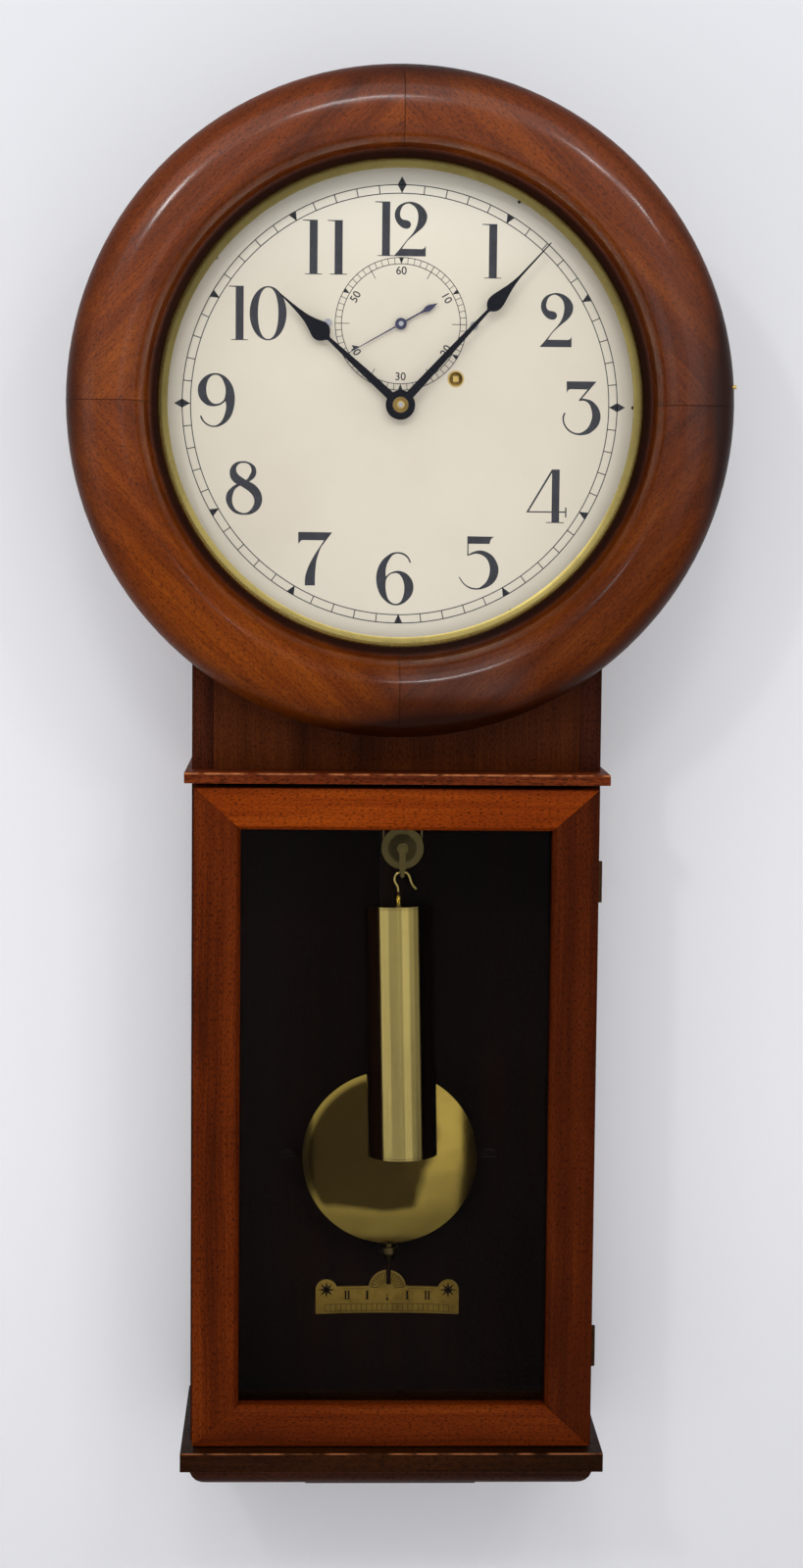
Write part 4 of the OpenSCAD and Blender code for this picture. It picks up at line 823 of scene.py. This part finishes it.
engraving = []
for side in (-1, 1):
    for k in range(8):
        engraving.append([radial_bar(1.9, 5.6, 45 * k, 0.25, (side * 42.5, 0), 1.7)])
    engraving.append([block(side * 14 - 0.75, side * 14 + 0.75, -6.6, -0.9)])
    for x in (-1.1, 1.1):
        engraving.append([block(side * 28 + x - 0.6, side * 28 + x + 0.6, -6.6, -0.9)])
    for y in (-6.9, -0.8):
        engraving.append([block(side * 14 - 1.5, side * 14 + 1.5, y, y + 0.3)])
        engraving.append([block(side * 28 - 2.4, side * 28 + 2.4, y, y + 0.3)])
for k in range(15):
    angle = -84 + 12 * k
    if abs(angle) > 8:
        engraving.append([radial_bar(4.5, 12.0, angle, 0.8, (0, 1), 0.3)])
        engraving.append([radial_bar(9.5, 12.4, angle + 6 * (-1 if angle > 0 else 1), 0.5, (0, 1), 0.2)])
for k in range(-12, 13):
    drop = -(3.6 * k) ** 2 / 2300
    engraving.append([block(3.6 * k - 0.16, 3.6 * k + 0.16, drop - 14.6, drop - 9.9)])
for low in (-9.9, -14.9, 1.2):
    for k in range(-12 if low < 0 else -9, 12 if low < 0 else 9):
        if low > 0 and abs(k + 0.5) < 4:
            continue
        a, b = -(3.6 * k) ** 2 / 2300, -(3.6 * (k + 1)) ** 2 / 2300
        engraving.append([[(3.6 * k, a + low), (3.6 * k + 3.6, b + low), (3.6 * k + 3.6, b + low + 0.28),
                           (3.6 * k, a + low + 0.28)]])
engraving.append([[(0, -8.2), (1.1, -6.3), (0.25, -5.6), (0.25, -2.6), (-0.25, -2.6), (-0.25, -5.6), (-1.1, -6.3)]])
engraved = ink("engraving_fill", srgb(12, 8, 3), shine=0.05)
printed("beat_plate_engraving", [beat_mm(g) for g in engraving], PLATE_FACE, 0.00006, "case", engraved)

# Wall, floor and light


def stage_plane(name, corners, material, faces=((0, 1, 2, 3),)):
    mesh = bpy.data.meshes.new(name)
    mesh.from_pydata(corners, [], faces)
    mesh.materials.append(material)
    plane = bpy.data.objects.new(name, mesh)
    bpy.context.scene.collection.objects.link(plane)
    return plane


def wall_paint(name):
    """Pale wall paint, with painted shade lower down and towards the right, and painted light beside the waist, below
    the head. Its back lets the view through, so that the clock's back can be looked at.
    """
    m = Paint(name)
    x, y, z = m.place()
    cloud = m.noise(m.vector(x * 1.2, y, z * 1.2), detail=2)
    fine = m.noise(m.vector(x * 160, y * 160, z * 160), detail=3)
    tone = m.mix(cloud, srgb(229, 230, 233), srgb(222, 223, 226))
    # Painted shade: darker towards the bottom
    tone = m.mix(z.between(-1.0, -0.3), srgb(224, 224, 226), tone)
    # Painted light beside the waist, below the head
    middle = (1 - abs(x).between(0.12, 0.6)) * z.between(-1.0, -0.6) * (1 - z.between(-0.25, 0.15))
    tone = m.mix(middle, tone, srgb(243, 243, 245))
    # Painted shade towards the right, stronger low down
    corner = x.between(0.1, 0.7) * ((1 - z.between(-1.0, -0.5)) * 0.48 + 0.22)
    tone = m.mix(corner, tone, srgb(200, 200, 201))
    shader = m.add("BsdfPrincipled", None, Base_Color=tone, Roughness=0.85 + (fine - 0.5) * 0.1,
                   Normal=m.bump(fine, 0.15, 0.0006), Specular_IOR_Level=0.2)
    clear = m.add("BsdfTransparent")
    behind = m.add("NewGeometry", out="Backfacing")
    m.add("OutputMaterial", None, m.add("MixShader", None, behind, shader, clear))
    return m.material


WALL_Y = 0.0004
FLOOR_Z = -1.5
# The wall is open behind the case, which covers the opening, so that light reaches the clock's back
wall_corners = [(x, WALL_Y, z) for half, low, high in ((4, FLOOR_Z, 2.5), (0.1315, -0.8, 0.028))
                for x, z in ((-half, low), (half, low), (half, high), (-half, high))]
stage_plane("wall", wall_corners, wall_paint("wall_paint"), ((0, 1, 5, 4), (1, 2, 6, 5), (2, 3, 7, 6), (3, 0, 4, 7)))
stage_plane("floor", [(-4, -5, FLOOR_Z), (4, -5, FLOOR_Z), (4, WALL_Y, FLOOR_Z), (-4, WALL_Y, FLOOR_Z)],
            wall_paint("floor_paint"))


def softbox(name, place, aim, width, height, power):
    light = bpy.data.lights.new(name, "AREA")
    light.shape, light.size, light.size_y, light.energy = "RECTANGLE", width, height, power
    lamp = bpy.data.objects.new(name, light)
    lamp.location = place
    lamp.rotation_euler = (Vector(aim) - Vector(place)).to_track_quat("-Z", "Y").to_euler()
    bpy.context.scene.collection.objects.link(lamp)


MIDDLE = (0, -0.1, -0.4)
softbox("lamp_left", (-0.99, -2.4, 0.89), MIDDLE, 0.15, 0.21, 6)
softbox("lamp_right", (0.873, -2.4, 1.0), MIDDLE, 0.10, 0.16, 2.4)
softbox("lamp_far_right", (1.255, -2.4, 0.96), MIDDLE, 0.10, 0.14, 2.2)
softbox("lamp_top", (-0.10, -2.4, 0.97), MIDDLE, 0.38, 0.10, 4)
softbox("card_ceiling", (-0.5, -3.1, 2.2), MIDDLE, 5.0, 2.4, 35)
softbox("card_left", (-2.85, -2.3, -0.95), (0, -0.1, -0.95), 2.2, 2.4, 7.5)
softbox("card_middle", (-0.14, -3.0, -0.95), (-0.14, 0, -0.95), 0.10, 2.4, 0.25)
softbox("card_right", (0.95, -2.6, -0.95), (0.95, 0, -0.95), 1.2, 2.4, 4.6)
world = bpy.data.worlds.new("room")
world.use_nodes = True
world.node_tree.nodes["Background"].inputs["Color"].default_value = srgb(238, 238, 241)
world.node_tree.nodes["Background"].inputs["Strength"].default_value = 0.89
bpy.context.scene.world = world
bpy.context.scene.view_settings.view_transform = "Standard"
